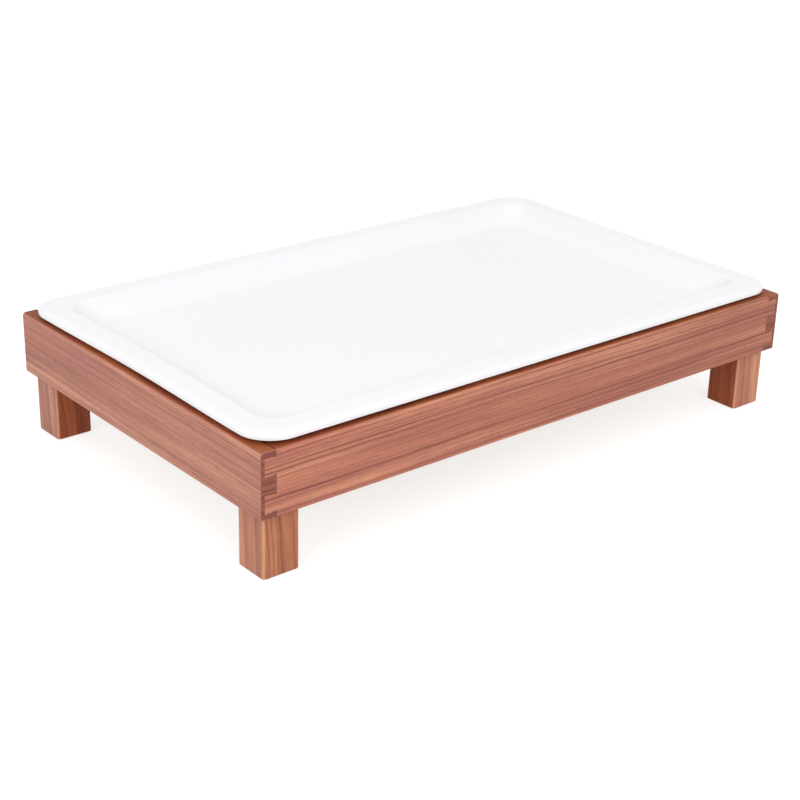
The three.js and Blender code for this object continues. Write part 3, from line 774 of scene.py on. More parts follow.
FRONT_STREAKS = (
    (2.8, 0.7, 0.40), (11.8, 0.8, 0.62), (15.2, 1.0, 0.80), (19.6, 0.8, 0.50),
    (22.5, 0.6, 0.30), (34.8, 0.9, 0.90), (39.0, 1.4, 0.40), (46.0, 1.7, 0.45),
)
END_STREAKS = (
    (6.0, 0.6, 0.22), (17.0, 1.1, 0.34), (24.5, 1.2, 0.32),
    (29.0, 0.9, 0.30), (41.0, 1.6, 0.36), (45.5, 0.9, 0.30),
)
LEG_STREAKS = {
    "front_left": ((-9.0, 1.2, 0.25), (-5.0, 2.2, 0.6), (0.5, 0.7, 0.2), (5.0, 0.9, 0.3), (9.5, 1.4, 0.45)),
    "front_right": ((-7.0, 1.0, 0.2), (-1.0, 0.9, 0.22), (6.0, 1.3, 0.25), (11.0, 0.9, 0.35)),
    "back_right": ((-8.0, 1.0, 0.4), (-2.0, 0.8, 0.4), (3.0, 1.2, 0.45), (8.0, 0.9, 0.5)),
    "back_left": ((-10.0, 1.2, 0.4), (-4.0, 0.8, 0.25), (2.0, 1.0, 0.15), (7.0, 1.4, 0.2)),
}
# Painted sheen and shade: tints of each leg's outer faces, across the ends and along the sides
LEG_PAINTED_LIGHT_TINTS = {
    "front_left": ((1.07, 1.19, 1.15), (0.91, 0.86, 0.70)),
    "front_right": ((1.0, 1.0, 1.0), (1.07, 1.17, 1.12)),
    "back_right": ((1.0, 1.0, 0.95), (1.0, 1.05, 1.0)),
    "back_left": ((0.91, 1.03, 1.18), (1.0, 1.0, 0.95)),
}
PLAIN_TINT = (1, 1, 1)
# Plain tint that keeps the painted shade off the ends of the pins
PIN_FACES = (("Y", -1, PLAIN_TINT), ("Y", 1, PLAIN_TINT))  # ends of an end rail, which show between the tails
# Hearts, waves, and edge wear with its painted highlight, of the boards of the rails and the legs
RAIL_HEART, LEG_HEART = (300 * MM, 25 * MM), (-75 * MM, 60 * MM)
RAIL_WAVE, LEG_WAVE = 5, 16
RAIL_WEAR_AND_HIGHLIGHT, LEG_WEAR_AND_HIGHLIGHT = 0.08, 0.75
LEG_TAPER = 0.05


def rail_board(axes, x, y, **details):
    """Board of a rail: the figure is measured down from the top edge of its outer face."""
    origin = (x, y, RAIL_TOP)
    return Board(axes=axes, origin=origin, heart=RAIL_HEART, wave=RAIL_WAVE, worn_and_highlit=RAIL_WEAR_AND_HIGHLIGHT, **details)


def leg_board(corner, seed):
    """Board of a leg: the heart lies past one corner, so that both outer faces show upright lines."""
    low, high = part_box(f"leg_{corner}")
    return Board(
        axes="ZXY", origin=((low.x + high.x) / 2, (low.y + high.y) / 2, RAIL_UNDER / 2), heart=LEG_HEART,
        taper=LEG_TAPER, wave=LEG_WAVE, streaks=LEG_STREAKS[corner],
        outside=tuple(zip("XY", CORNERS[corner], LEG_PAINTED_LIGHT_TINTS[corner])), worn_and_highlit=LEG_WEAR_AND_HIGHLIGHT, deepening=0, seed=seed,
    )


# Each rail's outer face takes its own tint instead of the painted shade; the left end rail's paler, pinker
# tint is a painted sheen
RAIL_BOARDS = {
    "front_rail": rail_board(
        "XZY", 0, -HALF_WIDTH, taper=0.004, streaks=FRONT_STREAKS, deepening=0.36, seed=1.7,
        outside=(("Y", -1, PLAIN_TINT),),
    ),
    "back_rail": rail_board(
        "XZY", 0, HALF_WIDTH, taper=-0.006, streaks=FRONT_STREAKS[::2], deepening=-0.2, seed=5.3,
        outside=(("Y", 1, (0.97, 0.97, 0.97)),),
    ),
    "left_end_rail": rail_board(
        "YZX", -HALF_LENGTH, 0, taper=0.010, streaks=END_STREAKS, deepening=0, seed=9.1,
        outside=(("X", -1, (0.99, 1.11, 1.21)), *PIN_FACES),
    ),
    "right_end_rail": rail_board(
        "YZX", HALF_LENGTH, 0, taper=-0.008, streaks=END_STREAKS[1:], deepening=0.2, seed=12.6,
        outside=(("X", 1, (1, 1.02, 1.05)), *PIN_FACES),
    ),
}


# Frame

def pin_span(index):
    """Heights of a pin at the ends of the tails; the outer pins run past the edges of the rail."""
    timber = bpy.context.scene.tray_timber
    height = RAIL_TOP - RAIL_UNDER
    tails = timber.tail_count
    tail = (height - 2 * timber.edge_pin - (tails - 1) * timber.middle_pin) / tails
    low = timber.edge_pin + index * tail + (index - 1) * timber.middle_pin if index > 0 else -OVERRUN
    high = timber.edge_pin + index * (tail + timber.middle_pin) if index < tails else height + OVERRUN
    return RAIL_UNDER + low, RAIL_UNDER + high


def pin_rooms(end, low_y, high_y):
    """Cutters between and beside the tails at one end of a long rail."""
    timber = bpy.context.scene.tray_timber
    tail_length = LONG_HIGH.x - INNER_X
    inner, outer = INNER_X - timber.glue_gap, LONG_HIGH.x + OVERRUN
    spread = timber.tail_flare * (tail_length + OVERRUN) / tail_length
    rooms = []
    for index in range(timber.tail_count + 1):
        low, high = pin_span(index)
        low, high = low - timber.tail_flare, high + timber.tail_flare
        corners = [(inner, low), (outer, low + spread), (outer, high - spread), (inner, high)]
        rooms.append(prism([(end * x, z) for x, z in corners], "Y", low_y, high_y))
    return rooms


def tail_sockets(end, low_y, high_y):
    """Cutters round the tails in one end of an end rail."""
    timber = bpy.context.scene.tray_timber
    inner, outer = INNER_X - OVERRUN, LONG_HIGH.x + timber.glue_gap
    slope = timber.tail_flare / (LONG_HIGH.x - INNER_X)
    narrow, wide = timber.tail_flare + slope * OVERRUN, slope * timber.glue_gap
    sockets = []
    for index in range(timber.tail_count):
        low = pin_span(index)[1] - timber.glue_gap
        high = pin_span(index + 1)[0] + timber.glue_gap
        corners = [(inner, low + narrow), (outer, low - wide), (outer, high + wide), (inner, high - narrow)]
        sockets.append(prism([(end * x, z) for x, z in corners], "Y", low_y, high_y))
    return sockets


def panel_groove():
    """Cutter for the groove of the base panel in all four rails."""
    gap = bpy.context.scene.tray_timber.panel_gap
    return block(PANEL_LOW - Vector((gap, gap, 0)), PANEL_HIGH + Vector((gap, gap, gap)))


class SERVINGTRAY_OT_rails(bpy.types.Operator):
    """Makes the four rails with their half-blind dovetails"""

    bl_idname = "serving_tray.rails"
    bl_label = "Rails"

    def execute(self, context):
        timber = context.scene.tray_timber
        for node in ("front_rail", "back_rail"):
            self.long_rail(timber, node)
        for node, end in (("left_end_rail", -1), ("right_end_rail", 1)):
            self.end_rail(timber, node, end)
        return {"FINISHED"}

    def long_rail(self, timber, node):
        low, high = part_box(node)

        def is_long(arris):
            return arris.axis == "X"

        def is_top_outside(arris):
            is_outside = abs(arris.middle.y) > INNER_Y + OVERRUN
            return is_long(arris) and arris.middle.z > high.z - OVERRUN and is_outside

        stock = block(low, high, (timber.top_ease, is_top_outside), (timber.edge_ease, is_long))
        rooms = []
        for end in (-1, 1):
            rooms += pin_rooms(end, low.y - OVERRUN, high.y + OVERRUN)
        add_timber(node, smooth(carve(stock, [panel_groove(), *rooms])), RAIL_BOARDS[node])

    def end_rail(self, timber, node, end):
        low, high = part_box(node)

        def is_outside(arris):
            return abs(arris.middle.x) > INNER_X + OVERRUN

        def is_top_outside(arris):
            return arris.axis == "Y" and arris.middle.z > high.z - OVERRUN and is_outside(arris)

        def is_eased(arris):
            return arris.axis != "Z" or is_outside(arris)

        stock = block(low, high, (timber.top_ease, is_top_outside), (timber.edge_ease, is_eased))
        near, far = INNER_Y - timber.glue_gap, HALF_WIDTH + OVERRUN
        sockets = tail_sockets(end, near, far) + tail_sockets(end, -far, -near)
        add_timber(node, smooth(carve(stock, [panel_groove(), *sockets])), RAIL_BOARDS[node])


class SERVINGTRAY_OT_legs(bpy.types.Operator):
    """Makes the four legs, rebated round the rails, with rooms for pads and inserts"""

    bl_idname = "serving_tray.legs"
    bl_label = "Legs"

    first_seed, seed_step = 2.1, 3.7

    def execute(self, context):
        for index, corner in enumerate(CORNERS):
            node = f"leg_{corner}"
            stock = self.stock(context.scene.tray_timber, node)
            tools = self.rebates(context.scene.tray_timber, node, CORNERS[corner])
            tools += self.rooms(context.scene.tray_fixings, node, corner)
            board = leg_board(corner, self.first_seed + self.seed_step * index)
            add_timber(node, smooth(carve(stock, tools)), board)
        return {"FINISHED"}

    def stock(self, timber, node):
        low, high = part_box(node)

        def is_upright(arris):
            return arris.axis == "Z"

        def is_lowest(arris):
            return arris.middle.z < low.z + OVERRUN and not is_upright(arris)

        return block(low, high, (timber.leg_ease, is_upright), (timber.foot_ease, is_lowest))

    def rebates(self, timber, node, signs):
        """Cutters that leave the stub inside the corner of the rails."""
        cutters = []
        for axis, inner in ((0, INNER_X), (1, INNER_Y)):
            near = signs[axis] * (inner - timber.stub_gap)
            far = signs[axis] * (HALF_LENGTH + OVERRUN)
            low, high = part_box(node)
            low, high = low - Vector.Fill(3, OVERRUN), high + Vector.Fill(3, OVERRUN)
            low.z = RAIL_UNDER
            low[axis], high[axis] = min(near, far), max(near, far)
            cutters.append(block(low, high))
        return cutters

    def rooms(self, fixing, node, corner):
        """Cutters for the foot pad, the insert and the end of the screw."""
        pad_low, pad_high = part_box(f"foot_pad_{corner}")
        insert_low, insert_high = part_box(f"leg_insert_{corner}")
        screw_low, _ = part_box(f"leg_screw_{corner}")
        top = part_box(node)[1].z
        gap = fixing.bore_gap
        pad_radius = (pad_high.x - pad_low.x) / 2 + gap
        insert_radius = (insert_high.x - insert_low.x) / 2 + gap
        pad_middle, middle = ((pad_low + pad_high) / 2).xy, ((insert_low + insert_high) / 2).xy
        return [
            cylinder(pad_radius, pad_low.z - OVERRUN, pad_high.z, pad_middle),
            cylinder(insert_radius, insert_low.z - gap, top + OVERRUN, middle),
            cylinder(fixing.screw_radius + gap, screw_low.z - fixing.screw_spare, insert_low.z, middle),
        ]


# Fixings

def brass(graph, fixing):
    """Turned brass with fine tool lines."""
    x, y, z = graph.split(graph.place())
    lines = graph.noise(graph.vector(x * 60, y * 60, z * 9000), detail=2)
    tarnish = graph.step(graph.noise(graph.place(), 420, 3), 0.45, 0.7)
    metal = graph.mix(tarnish * 0.4, fixing.brass, fixing.tarnish)
    return {
        "Base Color": graph.shade(metal, 0.85 + lines * 0.3),
        "Roughness": 0.26 + lines * 0.12 + tarnish * 0.15,
        "Normal": graph.bump(lines, 0.01 * MM, 0.4),
        "Metallic": 1.0,
    }


def steel(graph, fixing):
    """Plated steel with a faint mottle."""
    mottle = graph.noise(graph.place(), 900, 3, 0.6)
    stain = graph.step(graph.noise(graph.place(), 160, 2), 0.5, 0.75)
    metal = graph.mix(stain * 0.3, fixing.steel, fixing.stain)
    return {
        "Base Color": graph.shade(metal, 0.86 + mottle * 0.28),
        "Roughness": 0.28 + mottle * 0.16 + stain * 0.1,
        "Normal": graph.bump(mottle, 0.008 * MM, 0.4),
        "Metallic": 1.0,
    }


def rubber(graph, fixing):
    """Moulded rubber with a grain and a little dust."""
    pitted = graph.noise(graph.place(), 2600, 3, 0.65)
    dust = graph.step(graph.noise(graph.place(), 330, 4, 0.6), 0.52, 0.8)
    body = graph.shade(fixing.rubber, 0.75 + pitted * 0.5)
    return {
        "Base Color": graph.mix(dust * 0.35, body, fixing.dust),
        "Roughness": 0.72 + pitted * 0.16 + dust * 0.1,
        "Normal": graph.bump(pitted, 0.04 * MM, 0.6),
    }


class SERVINGTRAY_OT_fixings(bpy.types.Operator):
    """Makes the threaded inserts and the countersunk leg screws"""

    bl_idname = "serving_tray.fixings"
    bl_label = "Inserts and screws"

    rows_per_turn = 6

    def execute(self, context):
        fixing = context.scene.tray_fixings
        tree = worked_surface_tree()
        turned_brass = surface("turned brass", brass, fixing)
        plated_steel = surface("plated steel", steel, fixing)
        for corner in CORNERS:
            self.insert(fixing, f"leg_insert_{corner}", tree, turned_brass)
            self.screw(fixing, f"leg_screw_{corner}", tree, plated_steel)
        return {"FINISHED"}

    def thread(self, radius, low, high, pitch):
        """Profile points close enough to carry a thread, with plain ends."""
        rows = round((high - low) / pitch * self.rows_per_turn)
        heights = [low + (high - low) * row / rows for row in range(rows + 1)]
        return [(radius, height, 1 if 0 < row < rows else 0) for row, height in enumerate(heights)]

    def insert(self, fixing, node, tree, finish):
        low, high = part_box(node)
        radius, tall = (high.x - low.x) / 2, high.z - low.z
        bore, ease = fixing.insert_bore, fixing.insert_ease
        profile = [(bore, 0), (radius - ease, 0)]
        profile += self.thread(radius, ease, tall - ease, fixing.insert_pitch)
        profile += [(radius - ease, tall), (bore, tall)]
        values = {"Thread Pitch": fixing.insert_pitch, "Thread Depth": fixing.insert_depth, "Finish": finish}
        mesh = run_tree(turned(profile), tree, values)
        reach, width = radius + OVERRUN, fixing.insert_slot
        slot = block((-reach, -width / 2, tall - width), (reach, width / 2, tall + OVERRUN))
        mesh = stand_in_box(smooth(carve(mesh, [slot])), node)
        add_piece(node, "brass", mesh, finish, "frame", "brass")

    def screw(self, fixing, node, tree, finish):
        low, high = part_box(node)
        head, tall = (high.x - low.x) / 2, high.z - low.z
        radius, tip = fixing.screw_radius, fixing.screw_tip
        neck = tall - (head - radius)
        profile = [(0, 0), (radius - tip, 0)]
        profile += self.thread(radius, tip, neck - tip, fixing.screw_pitch)
        profile += [(radius, neck), (head, tall - fixing.head_edge), (head, tall), (0, tall)]
        values = {"Thread Pitch": fixing.screw_pitch, "Thread Depth": fixing.screw_depth, "Finish": finish}
        mesh = run_tree(turned(profile), tree, values)
        reach = fixing.socket_width / math.sqrt(3)
        turns = [math.pi / 3 * step for step in range(6)]
        hexagon = [(reach * math.cos(turn), reach * math.sin(turn)) for turn in turns]
        socket = prism(hexagon, "Z", tall - fixing.socket_depth, tall + OVERRUN)
        mesh = stand_in_box(smooth(carve(mesh, [socket])), node)
        add_piece(node, "steel", mesh, finish, "frame", "steel")


class SERVINGTRAY_OT_foot_pads(bpy.types.Operator):
    """Makes the rubber pads with their grip studs"""

    bl_idname = "serving_tray.foot_pads"
    bl_label = "Foot pads"

    bevel = 0.3  # where the two facets of the lower edge's rounding meet, against the rounding

    def execute(self, context):
        fixing = context.scene.tray_fixings
        tree, finish = grip_studs_tree(), surface("moulded rubber", rubber, fixing)
        ease, under = fixing.pad_ease, fixing.stud_height
        for corner in CORNERS:
            node = f"foot_pad_{corner}"
            low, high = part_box(node)
            radius, tall = (high.x - low.x) / 2, high.z - low.z
            profile = [
                (0, under), (radius - ease, under), (radius - self.bevel * ease, under + self.bevel * ease),
                (radius, under + ease), (radius, tall), (0, tall),
            ]
            values = {
                "Radius": radius - fixing.stud_margin, "Pitch": fixing.stud_pitch,
                "Height": fixing.stud_height, "Finish": finish,
            }
            studs = run_tree(bpy.data.meshes.new("form"), tree, values)
            mesh = stand_in_box(smooth(carve(turned(profile), [studs], "UNION")), node)
            add_piece(node, "rubber", mesh, finish, "frame", "foot_rubber")
        return {"FINISHED"}


# Insulated well

def plywood(graph, well):
    """Rotary-cut veneer on the faces and alternating plies on the edges."""
    x, y, z = graph.split(graph.place())
    _, _, up = graph.split(graph.facing())
    drift = graph.noise(graph.vector(x * 2.5, y * 9, 0.0), detail=2) - 0.5
    loops = graph.noise(graph.vector(x * 3, y * 34 + drift * 6, 2.0), detail=3, roughness=0.55)
    fibres = graph.noise(graph.vector(x * 35, y * 1500, z * 1500), detail=2)
    flecks = graph.step(graph.noise(graph.vector(x * 160, y * 1300, 5.0), detail=1), 0.62, 0.72)
    veneer = graph.mix(graph.step(loops, 0.42, 0.62) * 0.45, well.veneer, well.late_wood)
    waves = math.pi * well.plies / (PANEL_HIGH.z - PANEL_LOW.z)
    ply = graph.step(((z - PANEL_LOW.z) * waves).math("SINE"), -0.2, 0.2)
    edge = graph.step(abs(up), 0.7, 0.4)
    wood = graph.mix(edge * ply, veneer, well.cross_ply)
    return {
        "Base Color": graph.shade(wood, 0.84 + fibres * 0.32 - flecks * 0.14),
        "Roughness": 0.62 + fibres * 0.16 + flecks * 0.1,
        "Normal": graph.bump(fibres - flecks, 0.06 * MM),
    }


def cork(graph, well):
    """Pressed cork granules with dark binder between them."""
    place = graph.place()
    granule = graph.cells(place, 420, output="Color")
    seam = graph.cells(place, 420, "DISTANCE_TO_EDGE")
    hue = graph.add("ShaderNodeSeparateColor", None, {"Color": granule}, "Red")
    speck = graph.step(graph.noise(place, 1900, 3, 0.6), 0.56, 0.68)
    body = graph.mix(hue, well.cork, well.pale_cork)
    body = graph.mix(graph.step(seam, 0.09, 0.0) * 0.7, body, well.binder)
    return {
        "Base Color": graph.mix(speck * 0.5, body, well.cork_speck),
        "Roughness": 0.80 + hue * 0.12,
        "Normal": graph.bump(graph.step(seam, 0.0, 0.12) + hue * 0.5 - speck, 0.15 * MM, 0.6),
    }


def formed_sheet(graph, well):
    """Satin sheet with a fine haircell texture and faint rub marks."""
    place = graph.place()
    x, y, z = graph.split(place)
    hair = graph.cells(place, 1500, "SMOOTH_F1")
    rubs = graph.step(graph.noise(graph.vector(x * 40, y * 26, z * 500), detail=4, roughness=0.6), 0.56, 0.75)
    body = graph.shade(well.liner, 0.8 + hair * 0.5)
    return {
        "Base Color": graph.mix(rubs * 0.5, body, well.rub_mark),
        "Roughness": 0.46 + hair * 0.14 + rubs * 0.1,
        "Normal": graph.bump(hair, 0.05 * MM),
    }


def milky_shell(graph, well):
    """Milky moulded plastic that lets the gel's colour through, with a faint parting line."""
    place = graph.place()
    _, _, z = graph.split(place)
    cloud = graph.noise(place, 26, 4, 0.55)
    pitted = graph.noise(place, 1700, 2)
    parting = graph.step(abs(z - PACK_MIDDLE), 0.35 * MM, 0.15 * MM)
    body = graph.mix(graph.step(cloud, 0.35, 0.7) * 0.28, well.shell, well.gel)
    return {
        "Base Color": graph.mix(parting * 0.35, body, well.parting),
        "Roughness": 0.36 + pitted * 0.14,
        "Normal": graph.bump(pitted * 0.3 + parting, 0.06 * MM),
    }


def freezing_gel(graph, well):
    """Blue gel with small bubbles."""
    place = graph.place()
    cloud = graph.noise(place, 40, 3)
    bubble = graph.step(graph.cells(place, 240), 0.16, 0.08)
    body = graph.shade(well.gel, 0.8 + cloud * 0.4)
    return {
        "Base Color": graph.mix(bubble * 0.6, body, well.bubble),
        "Roughness": 0.12 + cloud * 0.1,
        "Normal": graph.bump(bubble, 0.1 * MM),
    }


def moulded_cap(graph, well):
    """Dark moulded plastic, paler where fingers wear it."""
    place = graph.place()
    pitted = graph.noise(place, 2400, 2)
    wear = graph.step(graph.noise(place, 420, 4, 0.65), 0.5, 0.75)
    body = graph.shade(well.cap, 0.85 + pitted * 0.3)
    return {
        "Base Color": graph.mix(wear * 0.35, body, well.worn_cap),
        "Roughness": 0.38 + pitted * 0.16 + wear * 0.08,
        "Normal": graph.bump(pitted, 0.03 * MM),
    }


class SERVINGTRAY_OT_base(bpy.types.Operator):
    """Makes the plywood base panel and the cork insulation board on it"""

    bl_idname = "serving_tray.base"
    bl_label = "Base panel and insulation"

    crumb_steps = 160  # points along each side of the cork
    crumb_seed = 4

    def execute(self, context):
        self.panel(context.scene.tray_well, context.scene.tray_fixings)
        self.board(context.scene.tray_well)
        return {"FINISHED"}

    def panel(self, well, fixing):
        ease = well.panel_ease
        low, high = PANEL_LOW.z, PANEL_HIGH.z
        sheet = rounded_slab(lambda inset: rectangle(PANEL_LOW, PANEL_HIGH, ease, inset), low, high, ease)
        holes = [self.screw_hole(fixing, corner) for corner in CORNERS]
        finish = surface("birch plywood", plywood, well)
        add_piece("base_panel", "plywood", smooth(carve(sheet, holes)), finish, "frame", "plywood")

    def screw_hole(self, fixing, corner):
        """Cutter for a countersunk hole."""
        low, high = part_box(f"leg_screw_{corner}")
        radius, head, gap = fixing.screw_radius, (high.x - low.x) / 2, fixing.bore_gap
        under, over = PANEL_LOW.z - OVERRUN, PANEL_HIGH.z + OVERRUN
        hole = turned([
            (0, under), (radius + gap, under), (radius + gap, high.z - (head - radius)), (head + gap, high.z),
            (head + gap, over), (0, over),
        ])
        hole.transform(Matrix.Translation(((low.x + high.x) / 2, (low.y + high.y) / 2, 0)))
        return hole

    def board(self, well):
        chance = random.Random(self.crumb_seed)

        def corners(inset):
            return rectangle(BOARD_LOW, BOARD_HIGH, well.board_corner, inset)

        mesh = rounded_slab(corners, BOARD_LOW.z, BOARD_HIGH.z, well.board_ease, self.crumb_steps)
        for vertex in mesh.vertices:
            vertex.co.xy -= vertex.co.xy.normalized() * well.board_crumble * chance.random()
        finish = surface("pressed cork", cork, well)
        add_piece("insulation_board", "cork", smooth(mesh), finish, "frame", "cork")


class SERVINGTRAY_OT_liner(bpy.types.Operator):
    """Makes the formed drip liner"""

    bl_idname = "serving_tray.liner"
    bl_label = "Drip liner"

    side_steps = 4

    def execute(self, context):
        well = context.scene.tray_well
        wall = well.liner_wall
        half = wall / 2
        tall = LINER_HIGH.z - LINER_LOW.z
        rim = LINER_HIGH.z - half

        def level(inset, height):
            off = inset + well.liner_lean * (LINER_HIGH.z - height) / tall
            corners = rectangle(LINER_LOW, LINER_HIGH, well.liner_corner - off, off)
            return outline(corners, height, self.side_steps)

        def skin(inset, floor):
            fillet = well.liner_fillet + wall - inset
            rings = []
            for turn in angles(EDGE_STEPS):
                drawn_in, rise = fillet * (1 - math.sin(turn)), fillet * (1 - math.cos(turn))
                rings.append(level(inset + drawn_in, floor + rise))
            return [*rings, level(inset, rim)]

        over = angles(EDGE_STEPS, math.pi)[1:-1]
        bead = [level(half - half * math.cos(turn), rim + half * math.sin(turn)) for turn in over]
        outside, inside = skin(0, LINER_LOW.z), skin(wall, LINER_LOW.z + wall)
        mesh = smooth(loft(outside + bead + inside[::-1]))
        finish = surface("formed sheet", formed_sheet, well)
        add_piece("liner", "formed", mesh, finish, "liner", "liner_plastic")
        return {"FINISHED"}


class SERVINGTRAY_OT_cold_packs(bpy.types.Operator):
    """Makes the shells, gel and filler caps of the two cold packs"""

    bl_idname = "serving_tray.cold_packs"
    bl_label = "Cold packs"

    arc_spare = 0.01 * MM  # leaves a short straight between the two arcs of a channel's end
    steps_per_ridge = 8
    bevel = 0.3  # where the two facets of a cap's top edge meet, against the rounding

    def execute(self, context):
        well = context.scene.tray_well
        half_turn = Matrix.Rotation(math.pi, 4, "Z")
        cap_finish = surface("moulded cap", moulded_cap, well)
        forms = {
            "shell": (self.shell(well), "moulded", surface("milky shell", milky_shell, well), "pack_plastic"),
            "gel": (self.gel(well), "fill", surface("freezing gel", freezing_gel, well), "gel"),
            "cap": (self.cap(well, cap_finish), "moulded", cap_finish, "cap_plastic"),
        }
        for form, (mesh, word, finish, slot) in forms.items():
            turned_round = mesh.copy()
            turned_round.transform(half_turn)
            add_piece(f"cold_pack_right_{form}", word, mesh, finish, "cold_pack_right", slot)
            add_piece(f"cold_pack_left_{form}", word, turned_round, finish, "cold_pack_left", slot)
        return {"FINISHED"}

    def plan(self, well, inset):
        """Plan of the right pack drawn in by an inset, with the recess for its neck."""
        radius = well.pack_corner - inset
        outer, inner = well.notch_fillet - inset, well.notch_fillet + inset
        left, mouth = PACK_LOW.x + inset, PACK_HIGH.x - inset
        root = mouth - well.notch_depth
        half = well.notch_width / 2 + inset
        edge = PACK_HIGH.y - inset
        return [
            (mouth, -edge, radius), (mouth, -half, outer), (root, -half, inner), (root, half, inner),
            (mouth, half, outer), (mouth, edge, radius), (left, edge, radius), (left, -edge, radius),
        ]

    def on_neck(self, mesh):
        """Turns a piece made about Z to lie along the axis of the filler neck."""
        mesh.transform(Matrix.Translation((0, 0, PACK_MIDDLE)) @ Matrix.Rotation(math.pi / 2, 4, "Y"))
        return mesh

    def shell(self, well):
        low, high = PACK_LOW.z, PACK_HIGH.z
        wall, edge = well.pack_wall, well.pack_edge
        outside = rounded_slab(lambda inset: self.plan(well, inset), low, high, edge)
        ceiling = high - wall - well.channel_depth
        cavity = rounded_slab(lambda inset: self.plan(well, inset + wall), low + wall, ceiling, edge / 2)
        root = PACK_HIGH.x - well.notch_depth
        mouth = root + well.neck_length
        radius = (CAP_HIGH.z - CAP_LOW.z) / 2 - well.cap_ridge
        neck = self.on_neck(cylinder(radius, root - wall / 2, mouth))
        hole = self.on_neck(cylinder(radius - well.neck_wall, root - 2 * wall, mouth + OVERRUN))
        solid = carve(outside, [neck], "UNION")
        return smooth(carve(solid, [*self.channels(well, root), cavity, hole]))

    def channels(self, well, root):
        """Cutters for the stiffening channels across a pack's top."""
        pitch = (PACK_HIGH.y - PACK_LOW.y) / (well.channel_count + 1)
        return [self.channel(well, root, PACK_LOW.y + (row + 1) * pitch) for row in range(well.channel_count)]

    def channel(self, well, root, middle):
        """Cutter for one channel, with its edges eased in and out."""
        half, depth = well.channel_width / 2, well.channel_depth
        start, stop = PACK_LOW.x + well.channel_margin, root - well.channel_margin

        def ring(widened, height):
            reach = half + widened
            corners = rectangle(
                (start - widened, middle - reach), (stop + widened, middle + reach), reach - self.arc_spare
            )
            return outline(corners, height)

        turns = angles(2 * EDGE_STEPS, math.pi)
        section = [(depth * (1 - math.cos(turn)) / 2, depth * turn / math.pi) for turn in turns]
        rings = [ring(widened - depth, PACK_HIGH.z - depth + rise) for widened, rise in section]
        return loft([*rings, ring(0, PACK_HIGH.z + OVERRUN)])

    def gel(self, well):
        inset = PACK_HIGH.y - GEL_HIGH.y
        edge = well.pack_edge / 2
        return smooth(rounded_slab(lambda more: self.plan(well, inset + more), GEL_LOW.z, GEL_HIGH.z, edge))

    def cap(self, well, finish):
        """Cap with a spigot in the neck, grip ridges and a dished top."""
        radius, ease = (CAP_HIGH.z - CAP_LOW.z) / 2, well.cap_ease
        spigot = radius - well.cap_ridge - well.neck_wall - well.cap_gap
        foot, under, top = CAP_LOW.x, CAP_HIGH.x - well.cap_length, CAP_HIGH.x
        dish = radius - well.cap_rim
        profile = [
            (0, foot), (spigot - ease / 2, foot), (spigot, foot + ease / 2), (spigot, under),
            (radius - ease / 2, under, 0.4), (radius, under + ease / 2, 1), (radius, (under + top) / 2, 1),
            (radius, top - ease, 1), (radius - self.bevel * ease, top - self.bevel * ease, 0.6),
            (radius - ease, top), (dish, top), (dish - ease, top - ease / 2), (0, top - ease / 2),
        ]
        # The depth of the thread stays 0, so that the tree cuts ridges only
        values = {
            "Thread Pitch": MM, "Ridge Count": well.cap_ridges, "Ridge Depth": well.cap_ridge,
            "Finish": finish,
        }
        plain = turned(profile, self.steps_per_ridge * well.cap_ridges)
        return self.on_neck(smooth(run_tree(plain, worked_surface_tree(), values)))


# Tray

def porcelain(graph, tray):
    """White glaze with a faint ripple, and a bare foot ring underneath."""
    place = graph.place()
    _, _, z = graph.split(place)
    _, _, up = graph.split(graph.facing())
    ripple = graph.noise(place, 42, 2)
    cloud = graph.noise(place, 9, 2)
    speck = graph.step(graph.cells(place, 130), 0.045, 0.03)
    lowest = graph.step(z, TRAY_LOW.z + 0.12 * MM, TRAY_LOW.z + 0.04 * MM)
    bare = lowest * graph.step(up, -0.8, -0.95)
    grit = graph.noise(place, 2600, 2)
    glaze = graph.shade(tray.glaze, 0.985 + cloud * 0.03)
    glaze = graph.mix(speck * 0.10, glaze, tray.fleck)
    clay = graph.shade(tray.bisque, 0.86 + grit * 0.28)
    return {
        "Base Color": graph.mix(bare, glaze, clay),
        "Roughness": 0.20 + ripple * 0.06 + bare * 0.55,
        "Normal": graph.bump(ripple + bare * grit, 0.05 * MM),
        "IOR": 1.5,
    }


